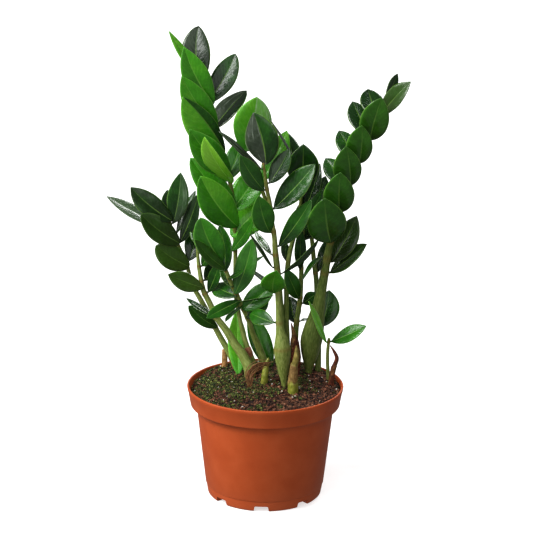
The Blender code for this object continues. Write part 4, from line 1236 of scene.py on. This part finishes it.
# Name, how many, sizes in millimetres, height for its width, how high it sits, how far it leans in
# degrees, where it may lie, material and shape
SCATTERED = (
    ("peat_crumbs", 4200, (0.5, 1.7), 0.8, 0.1, 40, lambda x, y: 1, peat_material, ball),
    ("bark_chips", 260, (1.1, 2.9), 0.45, 0.25, 35, lambda x, y: 0.35 + 0.65 * (x > -10 * MM),
     bark_material, ball),
    ("perlite_grains", 110, (0.5, 1.1), 0.9, 0.7, 30, lambda x, y: 0.4 + 0.6 * mossy(x, y),
     perlite_material, ball),
    ("moss_cushions", 1500, (0.6, 2.0), 0.7, 0.35, 20, mossy, moss_material, ball),
    ("moss_sprigs", 3200, (0.4, 0.7), 4.2, 0.0, 38, mossy, moss_material, sprig),
)
rng = np.random.default_rng(21)
for row in SCATTERED:
    print(row[0], len(scatter(*row, rng).data.polygons), "faces")

# %% [markdown]
# Low between the stems stand the young and the dead parts: a fat new shoot still wrapped in dry
# scales, a smaller one, a withered shoot, a dry sheath, a cut stub and a curled bract. Each is a
# tube or a ribbon with torn, overlapping scales, so the tube's radius steps in along its length
# where one scale ends and the next one shows.

# %% Materials for shoots and dry skins
def skin_material(name, colours, dry, roughness):
    """A fibrous skin: noise drawn out along the stem, and a dry colour laid on from its base up."""
    material, tree, shader = new_material(name)
    skin = add_node(tree, "ShaderNodeAttribute", attribute_name="skin").outputs["Vector"]
    share = add_node(tree, "ShaderNodeAttribute", attribute_name="scar").outputs["Fac"]
    drawn = add_node(tree, "ShaderNodeMapping", {"Vector": skin, "Scale": (1, 1, 0.12)}).outputs[0]
    fibres = add_node(
        tree, "ShaderNodeTexNoise",
        {"Vector": drawn, "Scale": 1 / (0.7 * MM), "Detail": 5, "Roughness": 0.7})
    blotches = add_node(tree, "ShaderNodeTexNoise", {"Vector": skin, "Scale": 1 / (4 * MM), "Detail": 3})
    mixed = add_node(
        tree, "ShaderNodeMath", {0: fibres.outputs[0], 1: blotches.outputs[0]}, operation="ADD")
    mixed = add_node(tree, "ShaderNodeMath", {0: mixed.outputs[0], 1: 0.5}, operation="MULTIPLY")
    living = add_node(tree, "ShaderNodeValToRGB", {"Fac": mixed.outputs[0]}, stops=colours)
    dead = add_node(tree, "ShaderNodeValToRGB", {"Fac": mixed.outputs[0]}, stops=dry)
    skin_colour = add_node(
        tree, "ShaderNodeMix", {0: share, 6: living.outputs[0], 7: dead.outputs[0]}, data_type="RGBA")
    tree.links.new(skin_colour.outputs[2], shader.inputs["Base Color"])
    rough = add_node(
        tree, "ShaderNodeMath", {0: share, 1: 0.35, 2: roughness}, operation="MULTIPLY_ADD", use_clamp=True)
    tree.links.new(rough.outputs[0], shader.inputs["Roughness"])
    shader.inputs["IOR"].default_value = 1.42
    bump = add_node(
        tree, "ShaderNodeBump", {"Height": fibres.outputs[0], "Distance": 0.35 * MM, "Strength": 0.7})
    tree.links.new(bump.outputs[0], shader.inputs["Normal"])
    return material


PAPERY = [(0.36, "#513a20"), (0.48, "#7d6038"), (0.60, "#a08350"), (0.72, "#c4a878")]
RUSTY = [(0.36, "#2e140c"), (0.48, "#5a2c1a"), (0.60, "#8a4d32"), (0.72, "#b87f5c")]
WITHERED = [(0.36, "#33200f"), (0.48, "#604020"), (0.60, "#86622f"), (0.72, "#ab8a52")]
STRAW = [(0.36, "#8a6238"), (0.48, "#b88a54"), (0.60, "#d0a673"), (0.72, "#e2c79c")]
PINKISH = [(0.36, "#7a4a34"), (0.48, "#a06a50"), (0.60, "#bf8a6e"), (0.72, "#d6ad92")]
BUD_GREEN = [(0.36, "#5f6a22"), (0.48, "#7f8730"), (0.60, "#9da048"), (0.72, "#bcb870")]
# A young bud, green and faintly waxy, inside dry straw-brown scales
bud_material = skin_material("waxy_bud_in_papery_scales", BUD_GREEN, PAPERY, 0.36)
# A leaf base that has dried to rusty paper
rust_material = skin_material("rusty_papery_sheath", PAPERY, RUSTY, 0.6)
# A shoot that has died back: dull brown, dark in its folds
withered_material = skin_material("withered_brown_skin", WITHERED, RUSTY, 0.6)
# A cut stalk, dried pale like straw
stub_material = skin_material("dry_cut_stub", PAPERY, STRAW, 0.65)
# A leaf base that is only beginning to dry, still pinkish
pink_material = skin_material("pinkish_leaf_base", PINKISH, PINKISH, 0.5)
SKINS = (bud_material, rust_material, withered_material, stub_material, pink_material)
print("skins:", [material.name for material in SKINS])


# %% [markdown]
# Each shoot is a tube along the path of its solid. Its scales are steps in the tube's radius with
# wavy edges, just under a thicker lip, and low ridges run along it. How dry each point is, from 0
# to 1, tells the material where the papery skin covers the living one.

# %% Grow the shoots, the sheath and the stub
def scaly(steps, depth, ridges):
    """A tube's shape with overlapping scales: it steps in at each length in steps."""
    def shape(length, angle):
        size = np.ones(len(length))
        for number, step in enumerate(steps):
            edge = step + 1.6 * MM * np.sin(angle + 2.1 * number) + 0.7 * MM * np.sin(3 * angle + number)
            size -= depth / (1 + np.exp((edge - length) / (0.25 * MM)))
            size += 0.5 * depth * np.exp(-(((length - edge) / (1.0 * MM)) ** 2)) * (length < edge)
        return size * (1 + ridges * np.cos(7 * angle) + 0.5 * ridges * np.cos(11 * angle + 1))
    return shape


SCALES = {
    "young_shoot_front": (bud_material, "shoot", scaly((20 * MM, 37 * MM), 0.12, 0.02)),
    "young_shoot_small": (bud_material, "shoot", scaly((9 * MM, 17 * MM), 0.08, 0.02)),
    "withered_shoot": (withered_material, "dry_sheath", scaly((8 * MM, 17 * MM, 27 * MM), 0.10, 0.07)),
    "dry_sheath": (rust_material, "dry_sheath", scaly((22 * MM, 48 * MM), 0.12, 0.09)),
    "cut_stub": (stub_material, "dry_stub", scaly((9 * MM,), 0.08, 0.05)),
}
PUFF_HEIGHT, PUFF_SPREAD = 32 * MM, 12 * MM


def dryness(name, length, across):
    """How dry each point of a shoot is, from how far up it lies and how far across."""
    if name == "young_shoot_front":
        # The shiny bud at the bottom, and a papery scale round the rest of the shoot above it
        edge = 20 * MM + 1.5 * MM * np.sin(across / MM)
        dry = 0.05 + 0.9 / (1 + np.exp((edge - length) / (0.5 * MM)))
        return dry - 0.35 * (length > 38 * MM) + 0.8 * np.clip(1 - length / (5 * MM), 0, 1)
    if name == "young_shoot_small":
        return np.clip(1 - length / (14 * MM), 0, 0.9)
    return 0.35 + 0.65 * (np.sin(length / (5 * MM) + across / (2 * MM)) > -0.2)


for name, (material, slot, shape) in SCALES.items():
    middles, radii = trace_stem(name)
    if name == "dry_sheath":
        # It puffs out where it has dried away from the stem behind it
        heights = middles[:, 2] - middles[0, 2]
        radii = radii * (1 + 0.35 * np.exp(-(((heights - PUFF_HEIGHT) / PUFF_SPREAD) ** 2)))
    placed, skin_place = tube_along(middles, radii, shape)
    piece = mesh_from(name + "_fine", placed, tube_faces, material)
    point_outwards(piece)
    store_vectors(piece, "skin", skin_place)
    store(piece, "scar", np.clip(dryness(name, skin_place[:, 2], skin_place[:, 0]), 0, 1))
    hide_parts(name)
    print(name, len(piece.data.polygons), "faces")

# %% [markdown]
# Old leaf bases cling to three of the stems as torn papery collars. Each is the tube pattern again,
# along a short stretch of its stem's own path, standing a little proud of the stem in its middle
# and tucked into it at both ends.

# %% Wrap dead leaf bases round three stems
# Stem, where on it the leaf base starts and ends, how far it stands proud, and its material
WRAPS = (
    ("stem_tall_left", 25 * MM, 41 * MM, 0.9 * MM, pink_material),
    ("stem_middle_front", 3 * MM, 22 * MM, 0.5 * MM, pink_material),
    ("stem_left_back", 6 * MM, 30 * MM, 0.5 * MM, rust_material),
)
for stem, start, end, proud, material in WRAPS:
    path, radii, lengths = smooth_path(*stems[stem], 400)
    chosen = (lengths > start) & (lengths < end)
    route, girth = path[chosen][::6], radii[chosen][::6]
    share = np.linspace(0, 1, len(route))
    girth = girth + proud * np.sin(np.pi * share) ** 0.5 - 0.4 * MM * share**4 - 0.15 * MM
    torn_end = scaly(((end - start) * 0.8,), 0.12, 0.03)
    placed, skin_place = tube_along(route, girth, torn_end)
    wrap = mesh_from("leaf_base_on_" + stem, placed, tube_faces, material)
    point_outwards(wrap)
    store_vectors(wrap, "skin", skin_place)
    store(wrap, "scar", np.full(len(placed), 0.5))
    print(wrap.name, len(wrap.data.polygons), "faces")

# %% [markdown]
# The curled bract is a dead leaf base: a strip of brown papery skin that has split into fibres and
# sprung away from the stems. It is the leaflet pattern again, laid along the curl's path, narrow,
# hollow across its width and torn along both edges. A few loose fibres, thin tubes, come off it.

# %% Curl the bract
BRACT_STEPS = 120
BRACT_SHARE = 0.62  # of the solid's thickness, as half the ribbon's width
bract_path, widths, lengths = smooth_path(*trace_stem("curled_bract"), BRACT_STEPS)
heading_at = unit(np.gradient(bract_path, axis=0))
sideways_at = unit(np.cross(heading_at, (0.0, -1.0, 0.0)))
front_at = np.cross(sideways_at, heading_at)
across, along = pattern_points[:, 0], np.clip(pattern_points[:, 1], 0, 1)
last = BRACT_STEPS - 1
index = np.clip((along * last).astype(int), 0, last - 1)
share = (along * last - index)[:, None]
middle = bract_path[index] * (1 - share) + bract_path[index + 1] * share
half = np.interp(along, lengths / lengths[-1], widths) * BRACT_SHARE
torn = 1 + 0.16 * np.sin(along * 41 + across) * np.abs(across) ** 3 + 0.10 * np.sin(along * 23)
cup = (1 - across**2) * 1.3 * MM - 0.9 * MM
wrinkle = 0.25 * MM * np.sin(across * 16 + along * 5)
rise = cup + wrinkle + np.sign(pattern_points[:, 2]) * 0.22 * MM
placed = middle + sideways_at[index] * (across * half * torn)[:, None] + front_at[index] * rise[:, None]
bract = mesh_from("curled_bract_fine", placed, pattern_faces, rust_material)
point_outwards(bract)
drawn_out = np.stack([across * 3 * MM, np.zeros(len(placed)), along * lengths[-1]], axis=1)
store_vectors(bract, "skin", drawn_out)
store(bract, "scar", 0.45 + 0.4 * np.sin(across * 9))
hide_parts("curled_bract")
print("bract:", len(bract.data.polygons), "faces")

# %% [markdown]
# As it dried, the bract split into fibres. Most still follow its curl a little way off it, and a
# dozen short ones hang loose. Each is a thin tube, and together they are one piece.

# %% Split fibres off the bract
STRANDS, LOOSE_FIBRES = 16, 12
STRAND_RADII = np.array([0.3, 0.5, 0.5, 0.42, 0.36, 0.3, 0.12]) * MM
rng = np.random.default_rng(5)
fibre_points, fibre_skin = [], []


def add_fibre(route, radii):
    """One more fibre along a route."""
    placed, skin_place = tube_along(route, radii)
    fibre_points.append(placed)
    fibre_skin.append(skin_place)


for number in range(STRANDS):
    # A strand that has split from the bract but still follows its curl
    off_to_side, off_front = rng.uniform(-4.6, 3.6) * MM, rng.uniform(-2.2, 2.2) * MM
    first, last = int(rng.uniform(0, 14)), int(rng.uniform(85, 119))
    places = np.linspace(first, last, 7).astype(int)
    swing = np.sin(np.linspace(0, math.pi, 7) + rng.uniform(-0.5, 0.5))[:, None]
    route = bract_path[places] + sideways_at[places] * off_to_side * (0.4 + swing)
    add_fibre(route + front_at[places] * off_front * swing, STRAND_RADII)
for number in range(LOOSE_FIBRES):
    start = bract_path[int(rng.uniform(10, 100))]
    drift = np.array([rng.uniform(-4, 5), rng.uniform(-3, 0.5), rng.uniform(-7, 4)]) * MM
    bend = np.array([rng.uniform(-2, 2), rng.uniform(-2, 0), rng.uniform(-1, 3)]) * MM
    add_fibre([start, start + drift * 0.45 + bend, start + drift], [0.28 * MM, 0.22 * MM, 0.1 * MM])
fibres = mesh_from("bract_fibres", np.vstack(fibre_points),
                   repeated((tube_points, tube_faces), len(fibre_points)), rust_material)
point_outwards(fibres)
store_vectors(fibres, "skin", np.vstack(fibre_skin))
strand = np.repeat(np.arange(len(fibre_points)), len(tube_points))
store(fibres, "scar", 0.55 + 0.45 * np.sin(strand * 2.3))
print("fibres:", len(fibre_points), "with", len(fibres.data.polygons), "faces")

# %% [markdown]
# The plant stands on a plain pale floor of matt paper, which glows a little, so that it stays white
# all the way to the horizon. Its own light is kept off the plant, where it would wash out the
# greens from below, as black cloth laid round the pot's foot would do in a studio.

# %% Floor material: matt white paper
# No highlight at all, and a grain too faint to notice, so nothing draws the eye from the plant
FLOOR_SIZE = 40  # metres
FLOOR_GLOW = 1.15
deselect_all()
bpy.ops.mesh.primitive_grid_add(x_subdivisions=8, y_subdivisions=8, size=FLOOR_SIZE, location=(0, 0, 0))
floor = bpy.context.object
floor.name = "studio_floor"
floor_material, tree, shader = new_material("matt_white_paper")
position = add_node(tree, "ShaderNodeTexCoord").outputs["Object"]
paper = add_node(tree, "ShaderNodeTexNoise", {"Vector": position, "Scale": 40.0, "Detail": 2})
pale = add_node(
    tree, "ShaderNodeValToRGB", {"Fac": paper.outputs[0]}, stops=[(0.3, "#c4c4c4"), (0.7, "#c8c8c8")])
tree.links.new(pale.outputs[0], shader.inputs["Base Color"])
tree.links.new(pale.outputs[0], shader.inputs["Emission Color"])
shader.inputs["Emission Strength"].default_value = FLOOR_GLOW
shader.inputs["Roughness"].default_value = 1.0
shader.inputs["Specular IOR Level"].default_value = 0.0
floor.data.materials.append(floor_material)
floor.visible_diffuse = False
floor.visible_glossy = False
print("floor:", FLOOR_SIZE, "m across")

# %% [markdown]
# Three broad sun lamps light the plant: the main one from the upper left, a weak one from the front
# that opens up the shadows, and one from behind that edges the leaves with light. A sun lamp's
# light is even over the whole scene, and a wide angle makes its shadows soft. A dim white sky fills
# in the rest.

# %% Light
# Name, strength, spread in degrees, azimuth from straight ahead towards the right, elevation
SUNS = (("key_light", 3.7, 36, -70, 42), ("fill_light", 1.1, 60, -12, 28), ("back_light", 1.5, 22, 155, 38))
SKY_STRENGTH = 0.28
scene = bpy.context.scene
world = bpy.data.worlds.new("soft_studio")
world.use_nodes = True
sky = world.node_tree.nodes["Background"]
sky.inputs["Color"].default_value = (1.0, 1.0, 1.0, 1.0)
sky.inputs["Strength"].default_value = SKY_STRENGTH
scene.world = world
for name, strength, spread, azimuth, elevation in SUNS:
    lamp = bpy.data.lights.new(name, "SUN")
    lamp.energy = strength
    lamp.angle = math.radians(spread)
    holder = bpy.data.objects.new(name, lamp)
    scene.collection.objects.link(holder)
    a, e = math.radians(azimuth), math.radians(elevation)
    towards = Vector((math.sin(a) * math.cos(e), -math.cos(a) * math.cos(e), math.sin(e)))
    holder.rotation_euler = towards.to_track_quat("Z", "Y").to_euler()
print("lamps:", [row[0] for row in SUNS])

# %% [markdown]
# The camera looks slightly down from nearly two metres off, through a long lens, which keeps the
# pot's sides true. The plain Standard view keeps the greens fresh, and a gamma a little under one
# deepens the shadows between the leaves.

# %% Camera
CAMERA_PLACE = (0.00018, -1.7534, 0.7531)
LENS_MM, SENSOR_MM = 122.8, 36
LOOKING_DOWN, TILTED = 0.2840, 0.0085  # radians
lens = bpy.data.cameras.new("camera")
lens.sensor_width = SENSOR_MM
lens.lens = LENS_MM
lens.clip_end = 100
camera = bpy.data.objects.new("camera", lens)
scene.collection.objects.link(camera)
camera.location = CAMERA_PLACE
camera.rotation_euler = (math.pi / 2 - LOOKING_DOWN, 0.0, 0.0)
camera.rotation_euler.rotate_axis("Z", TILTED)
scene.camera = camera
scene.view_settings.view_transform = "Standard"
scene.view_settings.gamma = 0.88
print("camera at", [round(c, 3) for c in camera.location])
